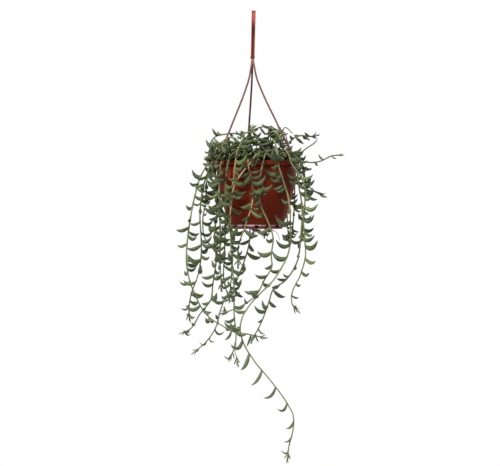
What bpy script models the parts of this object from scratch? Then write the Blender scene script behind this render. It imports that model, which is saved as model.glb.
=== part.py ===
"""A string of bananas plant trailing from a hanging pot.

Metres, +Z up, the front is -Y. The origin is the hang point: the highest point inside the hook, which
carries the whole plant. The pieces are the pot, the hanger that clips into its rim, the soil, and one
piece for each leafy stem, which stands in a hole in the soil.
"""

import math
import random

import bmesh
import bpy
import numpy as np
from mathutils import Matrix, Vector

MM = 0.001
GAP = 0.3 * MM  # between pieces that touch

# The pot, measured down from the top of its rim.
POT_X = 5 * MM  # the heavy stems on the left push the pot to the right of the hook
RIM_Z = -269 * MM
RIM_RADIUS = 77 * MM
RIM_THICKNESS = 1.8 * MM
LIP_DEPTH = 7.5 * MM
LIP_THICKNESS = 1.6 * MM
WALL_THICKNESS = 1.8 * MM
FLOOR_THICKNESS = 2 * MM
POT_HEIGHT = 121.5 * MM
MOUTH_ROUNDING = 1 * MM  # at the lip's outer edge
LIP_TAPER = 0.3 * MM
SLOT_COUNT = 14  # drain slots round the foot of the wall
SLOT_WIDTH = 8 * MM
SLOT_TOP = 115.7 * MM
SLOT_BOTTOM = 119.3 * MM
DRAIN_RADIUS = 2.8 * MM
DRAIN_CIRCLE = 30 * MM
DRAIN_COUNT = 6
POT_SEGMENTS = 28
CUTTER_SIDES = 8
CUTTER_MARGIN = 3 * MM  # how far a cutter passes through what it cuts
# The wall's outer radius at each depth below the rim, in millimetres: nearly upright, then tucked in.
WALL_OUTLINE = ((1.8, 70.2), (14, 71.3), (30, 71.2), (45, 68.6), (60, 64.8), (76, 60.8), (91, 56.6),
                (103, 52.6), (111, 49.4), (115.5, 47.2), (121.5, 46))
INNER_DEPTHS = (14, 30, 60, 91, 111)  # the inside, which the soil hides, takes fewer points

# The hanger: a flat strap with the hook, then three legs down to holes in the rim.
HOOK_RADIUS = 7.5 * MM  # inside the bend
STRAP_WIDTH = 7.2 * MM
STRAP_THICKNESS = 3 * MM
STRAP_GROOVE = 0.7 * MM
GROOVE_SHARES = (0.5, 0.35)  # of half the strap's width, at the groove's top and at its bottom
STRAP_END = Vector((-2 * MM, 0, -84 * MM))
# The strap's middle below the bend, as (share of the bend's radius, z in millimetres): it comes back in
# under the middle of the hook.
STRAP_NECK = ((-1, -20), (-0.85, -28), (-0.4, -36), (-0.08, -43), (0, -50))
HOOK_STEPS = 8  # in the half turn of the bend
HOOK_END = ((1.18, -23), (1.02, -16))  # the free end in the same terms, from its tip up
COLLAR_HEIGHT = 5 * MM
COLLAR_MARGIN = (0.4 * MM, 1.2 * MM)  # how far the collar stands proud of the strap, across it and in front
HUB_DEPTH = 7 * MM
HUB_STEP = 0.5 * MM
HUB_SHARES = (0.66, 0.45)  # of the collar's size, at the hub's top and at its bottom
LEG_RADIUS = 1.7 * MM
LEG_SIDES = 6
LEG_CIRCLE = 72.8 * MM  # the holes in the rim lie on it
LEG_ANGLES = (112, -110, -14)  # degrees from the back towards the right
LEG_CLEARANCE = 0.3 * MM
BARB_RADIUS = 2.3 * MM
BARB_LENGTH = 4.7 * MM
BARB_POINT = 0.7  # the size of its lower end, as a share of the leg's
# How far out a leg has come, as a share of the way to its hole, at each height in millimetres.
LEG_SHAPE = ((-86, 0.015), (-95, 0.035), (-106, 0.06), (-119, 0.1), (-135, 0.18), (-151, 0.27), (-172, 0.4),
             (-194, 0.545), (-216, 0.685), (-235, 0.815), (-248, 0.905), (-257, 0.965), (-263, 1))

# The soil, mounded a little in the middle.
SOIL_EDGE_DEPTH = 11 * MM
SOIL_TOP_DEPTH = 6 * MM
HOLE_DEPTH = 10 * MM
HOLE_TOP = 8 * MM  # how far a hole's cutter stands above the soil
SOIL_SHARES = (1, 0.7, 0.4, 0)  # of the way out from the middle, where its top has a ring of points

# Stems and leaves.
STEM_RADIUS = 1.6 * MM
STEM_TIP_RADIUS = 1.15 * MM
STEM_STEP = 18 * MM
STEM_SIDES = 4
STEM_START = 1.5 * MM  # how far above the soil a stem still stands upright
LEAF_SPACING = 21.5 * MM
LEAF_RADIUS = 0.122  # of its length, from its middle to a corner at the fattest place
LEAF_SIDES = 3
LEAF_SHARES = (0, 0.3, 0.68, 1)  # where along a leaf its corners lie
LEAF_FATNESS = (0, 1, 0.9, 0)  # and how fat it is there
LEAF_CLEARANCE = 0.5 * MM
LEAF_SINK = 0.5 * MM  # a leaf starts this far behind the middle of its stem
FIRST_LEAF = 16 * MM  # bare stem above the soil
YOUNG_LENGTH = 80 * MM  # towards a stem's tip the leaves get smaller over this length
YOUNGEST = 0.55  # the size of a leaf at the very tip
CLOSEST = 0.6  # how close leaves come near the tip, as a share of the usual spacing
SLANT_SPARSE = 2.2  # how much further apart they stand where a stem below the rim hangs slantwise
LOW_Z = -566 * MM  # below this the leaves of the longest stems are sparse and slender, and hang
SPARSE = 1.3
SLENDER = 0.65
# The bend and the tip of a leaf, as shares of its length: out from the stem, and up or down.
BEND_OUT = 0.48
BEND_UP = -0.04
BEND_DROP = 0.42  # how much lower the bend is on a stem that hangs straight down
TIP_OUT = 0.84
TIP_RISE = 0.08  # how much higher the tip is on a stem that doesn't hang
LOW_BEND = (-0.28, -0.3)  # how much further out and up a low leaf bends, as shares of its length
LOW_TIP = (-0.04, -0.36)
STANDING = (0.1, -0.8)  # leaves along a level stem stand up and hang down by turns
STRAIGHTENED = 0.6  # how much of a leaf's lean along its stem is taken out
LIFT_RANGE = (-0.32, 0.34)  # the tip's own rise
SIDEWAYS = 0.33  # how strongly the leaves turn towards the left and the right, from 0 to 0.5
SIZE_RANGE = (0.78, 1.18)
SPACING_RANGE = (0.85, 1.15)
TURN_RANGE = (-0.7, 0.7)  # radians
LOOSE = 1.6  # leaves that favour one side turn further from it
TURN_STEP = math.radians(40)  # from one side that is tried for a leaf to the next
TURNS_TRIED = 9
GOLDEN_ANGLE = math.radians(137.5)
SEED = 4
HANGER = -1  # the owner of the legs, where stems are owners 0, 1, 2 and so on
LEAFY_COLOR = (0.36, 0.46, 0.33)
DRY_COLOR = (0.36, 0.27, 0.22)  # of a shoot with no leaves

RIGHT, LEFT = 0, 180  # the side that a stem's leaves favour, in degrees from +X towards +Y

# Each stem: its leaf length in millimetres, the side that its leaves favour or None for all round, its root
# on the soil as (x, y), then its way over the rim and down as (x, y, z), all in millimetres.
STEMS = (
    # Left side, from the outermost in.
    (27, None, (-36, 0), ((-46, -7, -252), (-56, -10, -249), (-67, -12, -257), (-80, -15, -271),
     (-95, -17, -296), (-105, -18, -329), (-114, -15, -374), (-120, -10, -422), (-121, -5, -448),
     (-117, 1, -477), (-105, 9, -511), (-94, 12, -533), (-78, 14, -552), (-59, 15, -564),
     (-37, 15, -576), (-14, 15, -580), (21, 15, -587))),
    (29, None, (-34, -14), ((-46, -26, -250), (-62, -33, -256), (-75, -38, -272), (-83, -40, -292),
     (-91, -39, -320), (-96, -37, -367), (-94, -34, -407), (-94, -31, -438), (-100, -30, -474),
     (-112, -28, -508), (-116, -26, -535), (-114, -26, -554))),
    (29, RIGHT, (-34, 14), ((-46, 18, -252), (-62, 22, -256), (-76, 26, -270), (-84, 28, -297),
     (-87, 24, -340), (-92, 14, -380), (-88, 6, -407), (-71, 2, -428), (-58, -2, -443))),
    (29, None, (-26, -22), ((-43, -36, -252), (-58, -40, -256), (-66, -43, -272), (-68, -47, -306),
     (-66, -47, -356), (-70, -47, -409), (-67, -48, -443), (-73, -50, -490), (-76, -50, -515),
     (-95, -46, -541), (-116, -40, -571), (-128, -37, -576))),
    (29, None, (-16, -31), ((-34, -44, -250), (-48, -51, -256), (-57, -57, -271), (-60, -59, -297),
     (-60, -57, -370), (-60, -59, -446), (-57, -60, -499))),
    (29, None, (-7, -37), ((-22, -48, -251), (-36, -58, -256), (-45, -66, -271), (-49, -67, -295),
     (-50, -65, -353), (-52, -67, -439), (-53, -67, -481), (-43, -64, -516))),
    # Front of the pot, from the left.
    (31, None, (2, -14), ((-6, -26, -240), (-14, -40, -233), (-22, -53, -238), (-29, -66, -252),
     (-32, -76, -272), (-36, -74, -305), (-41, -69, -350), (-41, -71, -401), (-39, -75, -450),
     (-35, -78, -490), (-35, -78, -535), (-34, -75, -600), (-43, -74, -621))),
    (30, None, (10, -30), ((4, -46, -252), (-3, -62, -254), (-9, -75, -263), (-9, -83, -282), (-3, -81, -308),
     (-2, -81, -340), (-14, -79, -383), (-27, -73, -421), (-28, -66, -457))),
    (30, LEFT, (40, -22), ((37, -32, -254), (28, -48, -251), (14, -66, -253), (3, -79, -261),
     (-6, -88, -274), (-17, -90, -287), (-34, -88, -314), (-40, -82, -352), (-45, -79, -392))),
    (30, LEFT, (34, -43), ((31, -55, -255), (25, -65, -253), (20, -74, -260), (16, -82, -276),
     (10, -82, -306), (11, -80, -344), (26, -77, -380), (34, -76, -405), (31, -73, -439), (32, -71, -457),
     (20, -67, -479), (4, -62, -508), (-21, -58, -527), (-57, -55, -541))),
    (30, LEFT, (26, -20), ((29, -28, -238), (34, -41, -232), (39, -56, -241), (42, -68, -256),
     (43, -77, -275), (50, -75, -299), (61, -66, -333), (65, -60, -382), (61, -57, -435), (49, -58, -460),
     (32, -64, -485), (12, -79, -504), (-8, -90, -526), (-20, -92, -546), (-24, -90, -572),
     (-19, -86, -590), (0, -76, -623), (30, -64, -660), (60, -51, -702), (70, -47, -722), (71, -44, -740),
     (62, -40, -783), (60, -40, -803))),
    # Right side, from the front to the rear.
    (27, RIGHT, (46, -34), ((50, -45, -251), (56, -54, -250), (62, -62, -259), (67, -69, -274),
     (82, -68, -296), (92, -65, -319), (88, -65, -362), (91, -63, -416), (92, -62, -436), (84, -60, -469),
     (67, -60, -512), (69, -60, -526), (79, -60, -537))),
    (28, None, (48, -16), ((53, -25, -252), (61, -34, -252), (70, -40, -259), (76, -48, -276),
     (79, -49, -306), (86, -47, -351), (84, -43, -400), (75, -39, -455), (56, -36, -483), (34, -34, -500),
     (28, -34, -518), (9, -34, -567), (-3, -34, -588))),
    (0, None, (36, -8), ((48, -12, -262), (58, -15, -260), (69, -18, -258), (83, -20, -254), (96, -21, -245),
     (108, -22, -237), (113, -22, -232))),
    (22, RIGHT, (52, 2), ((62, 3, -256), (72, 3, -253), (82, 2, -260), (88, 0, -276), (92, -4, -340),
     (86, -8, -410))),
    (21, None, (44, 8), ((58, 12, -254), (70, 15, -253), (81, 18, -261), (88, 17, -280), (91, 14, -297),
     (99, 12, -313), (109, 10, -322), (128, 6, -332))),
    (34, None, (36, 16), ((44, 20, -256), (54, 22, -244), (64, 22, -235), (73, 22, -226), (83, 22, -222),
     (105, 22, -223), (115, 22, -221))),
    (20, None, (44, 26), ((58, 34, -258), (71, 38, -259), (84, 41, -266), (96, 42, -269), (122, 42, -267),
     (132, 42, -262), (141, 42, -258), (161, 42, -256))),
    # Rear, from the left.
    (30, None, (-28, 26), ((-44, 34, -252), (-54, 40, -256), (-62, 46, -271), (-65, 48, -300),
     (-64, 47, -350), (-60, 44, -400), (-62, 42, -450))),
    (30, None, (-16, 34), ((-26, 48, -252), (-34, 58, -256), (-42, 69, -272), (-43, 70, -300),
     (-42, 70, -360), (-38, 66, -420), (-44, 56, -520))),
    (30, None, (8, 30), ((4, 44, -250), (0, 58, -251), (-6, 74, -260), (-8, 84, -280), (-8, 82, -347),
     (-9, 75, -421), (-22, 64, -462), (-36, 53, -494), (-52, 48, -517), (-61, 46, -540), (-70, 44, -572),
     (-85, 42, -594), (-109, 40, -615))),
    (27, None, (8, 46), ((14, 58, -252), (18, 69, -256), (22, 80, -271), (24, 82, -300), (24, 80, -350),
     (20, 72, -404))),
    (28, None, (34, 36), ((42, 48, -252), (48, 56, -256), (55, 65, -271), (58, 68, -300), (60, 66, -350),
     (64, 60, -412))),
    (27, None, (46, 38), ((56, 43, -254), (63, 46, -257), (71, 51, -272), (74, 52, -300), (74, 50, -350),
     (70, 46, -400))),
    # Short shoots that arch up into the mound over the pot.
    (20, None, (-4, 14), ((-8, 8, -240), (-16, 4, -226), (-32, 3, -219), (-52, 2, -220), (-68, 1, -224),
     (-76, 0, -232), (-79, -1, -245), (-84, -2, -269))),
    (27, None, (-20, 20), ((-20, 26, -246), (-11, 26, -222), (1, 24, -211), (15, 22, -206), (28, 20, -206),
     (42, 18, -211), (52, 17, -220))),
    (31, None, (16, -8), ((14, -14, -244), (8, -22, -226), (-2, -30, -218), (-14, -36, -219),
     (-24, -42, -227))),
    (31, None, (22, 4), ((24, -6, -242), (28, -20, -223), (34, -34, -217), (42, -46, -221), (48, -56, -231))),
    (31, None, (-14, -8), ((-20, -12, -246), (-32, -20, -230), (-44, -31, -227), (-54, -38, -233),
     (-62, -46, -244))),
    (31, None, (-22, 6), ((-30, 8, -246), (-42, 12, -235), (-56, 18, -235), (-68, 24, -243))),
    (31, None, (22, 42), ((26, 48, -248), (33, 56, -233), (42, 64, -229), (52, 72, -235))),
    (31, None, (-14, 46), ((-20, 51, -248), (-30, 58, -237), (-42, 66, -238), (-52, 72, -248))),
    (24, None, (3, 0), ((5, 4, -240), (1, 11, -216), (-6, 16, -205))),
)


def plain_material(name, color, roughness):
    """A Principled material of one colour, given as it looks on a screen."""
    material = bpy.data.materials.new(name)
    material.use_nodes = True
    shader = material.node_tree.nodes["Principled BSDF"]
    linear = [(c / 12.92 if c <= 0.04045 else ((c + 0.055) / 1.055) ** 2.4) for c in color]
    shader.inputs["Base Color"].default_value = (*linear, 1)
    shader.inputs["Roughness"].default_value = roughness
    return material


def object_of(name, bm, material=None):
    bmesh.ops.recalc_face_normals(bm, faces=bm.faces)
    mesh = bpy.data.meshes.new(name)
    bm.to_mesh(mesh)
    bm.free()
    obj = bpy.data.objects.new(name, mesh)
    bpy.context.collection.objects.link(obj)
    if material:
        mesh.materials.append(material)
    return obj


def boolean(obj, others, operation):
    """Joins or cuts with all the others at once, keeps the result and removes the others."""
    group = bpy.data.collections.new(obj.name + "_others")
    bpy.context.scene.collection.children.link(group)
    for other in others:
        bpy.context.collection.objects.unlink(other)
        group.objects.link(other)
    modifier = obj.modifiers.new(operation.title(), "BOOLEAN")
    modifier.operation = operation
    modifier.operand_type = "COLLECTION"
    modifier.collection = group
    graph = bpy.context.evaluated_depsgraph_get()
    result = bpy.data.meshes.new_from_object(obj.evaluated_get(graph))
    obj.modifiers.clear()
    obj.data = result
    for other in others:
        bpy.data.objects.remove(other)
    bpy.data.collections.remove(group)


def shade(obj, degrees):
    obj.data.shade_smooth()
    obj.data.set_sharp_from_angle(angle=math.radians(degrees))


def turned(outline, segments):
    """A solid turned about the Z axis from (radius, z) points that start and end on it."""
    bm = bmesh.new()
    corners = [bm.verts.new((radius, 0, z)) for radius, z in outline]
    edges = [bm.edges.new(pair) for pair in zip(corners, corners[1:])]
    bmesh.ops.spin(bm, geom=corners + edges, cent=(0, 0, 0), axis=(0, 0, 1), angle=math.tau,
                   steps=segments, use_merge=True)
    bmesh.ops.remove_doubles(bm, verts=bm.verts, dist=0.001 * MM)
    return bm


def prism(center, radius, sides, bottom, top, turn=0.0):
    """An upright prism, used to cut round or square holes."""
    bm = bmesh.new()
    ring = [center + radius * Vector((math.cos(turn + k * math.tau / sides),
                                      math.sin(turn + k * math.tau / sides), 0)) for k in range(sides)]
    base = bm.faces.new([bm.verts.new((p.x, p.y, bottom)) for p in ring])
    grown = bmesh.ops.extrude_face_region(bm, geom=[base])["geom"]
    moved = [v for v in grown if isinstance(v, bmesh.types.BMVert)]
    bmesh.ops.translate(bm, verts=moved, vec=(0, 0, top - bottom))
    return object_of("cutter", bm)


def tube(bm, line, radii, sides, across):
    """Sweeps a regular polygon along a line. A radius of 0 makes a point, and any other end is capped.

    across is the direction of the first corner. It is carried along with as little turn as possible.
    """
    line = [Vector(p) for p in line]
    last = len(line) - 1
    rings = []
    for i, (point, radius) in enumerate(zip(line, radii)):
        along = (line[min(i + 1, last)] - line[max(i - 1, 0)]).normalized()
        across = (across - along * across.dot(along)).normalized()
        other = along.cross(across)
        if radius == 0:
            rings.append([bm.verts.new(point)])
            continue
        rings.append([bm.verts.new(point + radius * (across * math.cos(a) + other * math.sin(a)))
                      for a in (k * math.tau / sides for k in range(sides))])
    for low, high in zip(rings, rings[1:]):
        for k in range(sides):
            corners = [low[k % len(low)], low[(k + 1) % len(low)],
                       high[(k + 1) % len(high)], high[k % len(high)]]
            bm.faces.new(list(dict.fromkeys(corners)))
    for ring in (rings[0], rings[-1]):
        if len(ring) > 1:
            bm.faces.new(ring)


def wall_radius(depth):
    """The pot's outer radius at a depth below its rim."""
    depths, radii = np.array(WALL_OUTLINE).T * MM
    return float(np.interp(depth, depths, radii))


def soil_height(radius):
    share = min(radius / wall_radius(SOIL_EDGE_DEPTH), 1)
    return RIM_Z - SOIL_TOP_DEPTH - (SOIL_EDGE_DEPTH - SOIL_TOP_DEPTH) * share**2


def leg_hole(angle):
    """Where a leg goes through the rim."""
    turn = math.radians(angle)
    return Vector((POT_X + LEG_CIRCLE * math.sin(turn), LEG_CIRCLE * math.cos(turn), RIM_Z))


def pot_outline():
    """(radius, z) from the underside of the floor, up the outside, over the rim and down the inside."""
    outside = [(radius * MM, RIM_Z - depth * MM) for depth, radius in reversed(WALL_OUTLINE)]
    lip = [
        (RIM_RADIUS - LIP_THICKNESS, RIM_Z - RIM_THICKNESS),
        (RIM_RADIUS - LIP_THICKNESS, RIM_Z - LIP_DEPTH),
        (RIM_RADIUS - LIP_TAPER, RIM_Z - LIP_DEPTH),
        (RIM_RADIUS, RIM_Z - MOUTH_ROUNDING),
        (RIM_RADIUS - MOUTH_ROUNDING, RIM_Z),
    ]
    inside = [(wall_radius(depth * MM) - WALL_THICKNESS, RIM_Z - depth * MM) for depth in INNER_DEPTHS]
    mouth = (wall_radius(0) - WALL_THICKNESS, RIM_Z)
    floor_depth = POT_HEIGHT - FLOOR_THICKNESS
    floor_radius = wall_radius(floor_depth) - WALL_THICKNESS
    return [
        (0, RIM_Z - POT_HEIGHT),
        *outside,
        *lip,
        mouth,
        *inside,
        (floor_radius, RIM_Z - floor_depth),
        (0, RIM_Z - floor_depth),
    ]


def slot_cutter(turn):
    """A flat block that cuts through the foot of the wall at this angle."""
    middle = wall_radius(SLOT_BOTTOM) - WALL_THICKNESS / 2
    bm = bmesh.new()
    size = (WALL_THICKNESS + 2 * CUTTER_MARGIN, SLOT_WIDTH, SLOT_BOTTOM - SLOT_TOP)
    height = RIM_Z - (SLOT_TOP + SLOT_BOTTOM) / 2
    place = Matrix.Rotation(turn, 4, "Z") @ Matrix.Translation((middle, 0, height))
    bmesh.ops.create_cube(bm, size=1, matrix=place @ Matrix.Diagonal((*size, 1)))
    return object_of("cutter", bm)


def make_pot():
    """A round pot with a rolled lip, drain slots and holes, and three holes by the rim for the legs."""
    material = plain_material("pot_plastic", (0.46, 0.15, 0.1), 0.42)
    pot = object_of("pot", turned(pot_outline(), POT_SEGMENTS), material)
    floor = RIM_Z - POT_HEIGHT
    cutters = [slot_cutter(math.tau * (k + 0.5) / SLOT_COUNT) for k in range(SLOT_COUNT)]
    for k in range(DRAIN_COUNT):
        turn = math.tau * k / DRAIN_COUNT
        place = Vector((math.cos(turn), math.sin(turn), 0)) * DRAIN_CIRCLE
        cutters.append(prism(place, DRAIN_RADIUS, CUTTER_SIDES, floor - CUTTER_MARGIN,
                             floor + FLOOR_THICKNESS + CUTTER_MARGIN))
    for angle in LEG_ANGLES:
        place = leg_hole(angle) - Vector((POT_X, 0, 0))
        cutters.append(prism(place, LEG_RADIUS + LEG_CLEARANCE, CUTTER_SIDES,
                             RIM_Z - RIM_THICKNESS - CUTTER_MARGIN, RIM_Z + CUTTER_MARGIN))
    boolean(pot, cutters, "DIFFERENCE")
    pot.location.x = POT_X
    shade(pot, 35)


def strap_line():
    """The strap's middle from the hook's free end, round the bend and down to the collar, as (y, z)."""
    bend = HOOK_RADIUS + STRAP_THICKNESS / 2
    turns = [math.pi * k / HOOK_STEPS for k in range(HOOK_STEPS + 1)]
    arc = [(bend * math.cos(turn), bend * math.sin(turn) - HOOK_RADIUS) for turn in turns]
    end, neck = ([(bend * share, z * MM) for share, z in part] for part in (HOOK_END, STRAP_NECK))
    return [*end, *arc, *neck, (0, STRAP_END.z)]


def strap():
    """A flat bar with a shallow groove along its outer face, bent into the hook."""
    half, deep = STRAP_WIDTH / 2, STRAP_THICKNESS / 2
    wide, narrow = (half * share for share in GROOVE_SHARES)
    section = [(-half, -deep), (half, -deep), (half, deep), (wide, deep), (narrow, deep - STRAP_GROOVE),
               (-narrow, deep - STRAP_GROOVE), (-wide, deep), (-half, deep)]
    line = strap_line()
    bm = bmesh.new()
    rings = []
    for i, (y, z) in enumerate(line):
        before, after = line[max(i - 1, 0)], line[min(i + 1, len(line) - 1)]
        along = Vector((0, after[0] - before[0], after[1] - before[1])).normalized()
        outward = along.cross(Vector((1, 0, 0)))
        middle = Vector((STRAP_END.x * z / STRAP_END.z, y, z))
        rings.append([bm.verts.new(middle + Vector((x, 0, 0)) + outward * out) for x, out in section])
    for low, high in zip(rings, rings[1:]):
        for k in range(len(section)):
            nxt = (k + 1) % len(section)
            bm.faces.new((low[k], low[nxt], high[nxt], high[k]))
    bm.faces.new(rings[0])
    bm.faces.new(rings[-1])
    return bm


def collar():
    """The block that ends the strap, and the tapered hub under it that the legs grow from."""
    bm = bmesh.new()
    half_x, half_y = STRAP_WIDTH / 2 + COLLAR_MARGIN[0], STRAP_THICKNESS / 2 + COLLAR_MARGIN[1]
    levels = ((STRAP_END.z + COLLAR_HEIGHT, 1), (STRAP_END.z, 1),
              (STRAP_END.z - HUB_STEP, HUB_SHARES[0]), (STRAP_END.z - HUB_DEPTH, HUB_SHARES[1]))
    rings = []
    for z, share in levels:
        corners = ((-half_x, -half_y), (half_x, -half_y), (half_x, half_y), (-half_x, half_y))
        rings.append([bm.verts.new((STRAP_END.x + x * share, y * share, z)) for x, y in corners])
    for low, high in zip(rings, rings[1:]):
        for k in range(4):
            bm.faces.new((low[k], low[(k + 1) % 4], high[(k + 1) % 4], high[k]))
    bm.faces.new(rings[0])
    bm.faces.new(rings[-1])
    return object_of("collar", bm)


def leg_line(angle):
    """The points down the middle of a leg, from the hub to where it stands upright over its hole."""
    hole = leg_hole(angle)
    out = Vector((hole.x - STRAP_END.x, hole.y, 0))
    return [Vector((STRAP_END.x, 0, height * MM)) + out * share for height, share in LEG_SHAPE]


def leg(angle):
    """A thin round leg that ends in a barb, which holds against the underside of the rim."""
    hole = leg_hole(angle)
    shoulder = RIM_Z - RIM_THICKNESS - GAP
    ends = [hole.xy.to_3d() + Vector((0, 0, z)) for z in (shoulder, shoulder, shoulder - BARB_LENGTH)]
    line = leg_line(angle)
    radii = [LEG_RADIUS] * (len(line) + 1) + [BARB_RADIUS, LEG_RADIUS * BARB_POINT]
    bm = bmesh.new()
    tube(bm, line + ends, radii, LEG_SIDES, Vector((1, 0, 0)))
    return object_of("leg", bm)


def make_hanger():
    """One moulding: hook, strap, collar and three legs."""
    material = plain_material("hanger_plastic", (0.58, 0.22, 0.17), 0.38)
    hanger = object_of("hanger", strap(), material)
    boolean(hanger, [collar()] + [leg(angle) for angle in LEG_ANGLES], "UNION")
    shade(hanger, 40)


def soil_outline():
    """(radius, z) from the middle of the underside, up along the pot's wall, over the mounded top."""
    bottom = POT_HEIGHT - FLOOR_THICKNESS - GAP
    wall = [(wall_radius(bottom) - WALL_THICKNESS - GAP, RIM_Z - bottom)]
    for depth in reversed(INNER_DEPTHS):
        wall.append((wall_radius(depth * MM) - WALL_THICKNESS - GAP, RIM_Z - depth * MM))
    edge = wall_radius(SOIL_EDGE_DEPTH) - WALL_THICKNESS - GAP
    top = [(edge * share, soil_height(edge * share)) for share in SOIL_SHARES]
    return [(0, RIM_Z - bottom), *wall, *top]


def root_height(root):
    return soil_height(math.hypot(root[0] - POT_X, root[1]))


def make_soil(roots):
    """The pot's filling, with a plain square hole for each stem."""
    material = plain_material("potting_soil", (0.19, 0.13, 0.09), 0.95)
    soil = object_of("soil", turned(soil_outline(), POT_SEGMENTS), material)
    cutters = []
    for root in roots:
        place = Vector((root[0] - POT_X, root[1], 0))
        high = root_height(root)
        cutters.append(prism(place, STEM_RADIUS + GAP * math.sqrt(2), STEM_SIDES, high - HOLE_DEPTH,
                             high + HOLE_TOP))
    boolean(soil, cutters, "DIFFERENCE")
    soil.location.x = POT_X
    shade(soil, 35)


def stem_line(root, way):
    """The middle of a stem: upright in its hole, then a smooth curve through the points of its way."""
    base = root_height(root)
    points = np.array([(root[0], root[1], base + STEM_START), *way])
    lengths = np.linalg.norm(np.diff(points, axis=0), axis=1)
    knots = np.concatenate([[0], np.cumsum(lengths)])
    slopes = np.gradient(points, knots, axis=0)
    slopes[0] = (0, 0, 1)
    places = np.linspace(0, knots[-1], round(knots[-1] / STEM_STEP) + 1)
    span = np.clip(np.searchsorted(knots, places, side="right") - 1, 0, len(points) - 2)
    size = lengths[span, None]
    t = (places[:, None] - knots[span, None]) / size
    curve = ((2 * t**3 - 3 * t**2 + 1) * points[span] + (3 * t**2 - 2 * t**3) * points[span + 1]
             + (t**3 - 2 * t**2 + t) * size * slopes[span] + (t**3 - t**2) * size * slopes[span + 1])
    bottom = (root[0], root[1], base - HOLE_DEPTH + GAP)
    return np.vstack([[bottom], curve])


def stem_radii(line):
    last = len(line) - 1
    return [STEM_RADIUS + (STEM_TIP_RADIUS - STEM_RADIUS) * k / last for k in range(last + 1)]


def gaps(start, end, starts, ends):
    """The distance from one straight piece to each of many others."""
    d1, d2, r = end - start, ends - starts, start - starts
    a, e = d1 @ d1, (d2 * d2).sum(1)
    b, c, f = d2 @ d1, r @ d1, (d2 * r).sum(1)
    cross = a * e - b * b
    s = np.where(cross > 1e-18, np.clip((b * f - c * e) / np.maximum(cross, 1e-18), 0, 1), 0)
    t = (b * s + f) / e
    s = np.where(t < 0, np.clip(-c / a, 0, 1), np.where(t > 1, np.clip((b - c) / a, 0, 1), s))
    t = np.clip(t, 0, 1)
    apart = start + s[:, None] * d1 - starts - t[:, None] * d2
    return np.linalg.norm(apart, axis=1)


def clear_of_pot(points, radius):
    """True if balls of this radius at the points touch neither the pot nor the soil."""
    room = radius + LEAF_CLEARANCE
    for x, y, z in points:
        out = math.hypot(x - POT_X, y)
        depth = RIM_Z - z
        if depth < -room or depth > POT_HEIGHT + room:
            continue
        widest = max(wall_radius(depth - room), wall_radius(depth + room))
        if depth < LIP_DEPTH + room:
            widest = RIM_RADIUS
        outside = out > widest + room
        inside = out < wall_radius(0) - WALL_THICKNESS - room and z > soil_height(out) + room
        if not (outside or inside):
            return False
    return True


class Crowd:
    """Everything that a new leaf must stay clear of, as straight round bars."""

    def __init__(self):
        self.starts, self.ends, self.radii, self.owners = [], [], [], []

    def add(self, line, radii, owner):
        for k in range(len(line) - 1):
            self.starts.append(line[k])
            self.ends.append(line[k + 1])
            self.radii.append(max(radii[k], radii[k + 1]))
            self.owners.append(owner)

    def room(self, line, radius, owner):
        """The least gap from a line of this radius to what other owners have here."""
        others = np.array(self.owners) != owner
        starts, ends = np.array(self.starts)[others], np.array(self.ends)[others]
        radii = np.array(self.radii)[others]
        return min(float((gaps(p, q, starts, ends) - radii).min()) - radius for p, q in zip(line, line[1:]))


def leaf_line(joint, along, turn, length, lift, slot):
    """Four points down the middle of a leaf: a banana that leaves the stem sideways and curves up.

    Where the side that it turns to lies along the stem, it stands up or hangs down instead.
    """
    up = np.array([0, 0, 1.0])
    side = np.array([math.cos(turn), math.sin(turn), 0])
    side += up * abs(side @ along) ** 3 * STANDING[slot % 2]
    side -= along * (side @ along) * STRAIGHTENED
    side /= np.linalg.norm(side)
    hanging = max(0, -along[2])
    first = joint - side * LEAF_SINK
    low = joint[2] < LOW_Z
    bend = joint + length * ((BEND_OUT + LOW_BEND[0] * low) * side
                             + (BEND_UP - BEND_DROP * hanging + LOW_BEND[1] * low) * up)
    tip = joint + length * ((TIP_OUT + LOW_TIP[0] * low) * side
                            + (lift + TIP_RISE * (1 - hanging) + LOW_TIP[1] * low) * up)
    shares = np.array(LEAF_SHARES)[:, None]
    return (1 - shares) ** 2 * first + 2 * shares * (1 - shares) * bend + shares**2 * tip


def leaf_radius(joint, length):
    return LEAF_RADIUS * length * (SLENDER if joint[2] < LOW_Z else 1)


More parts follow.
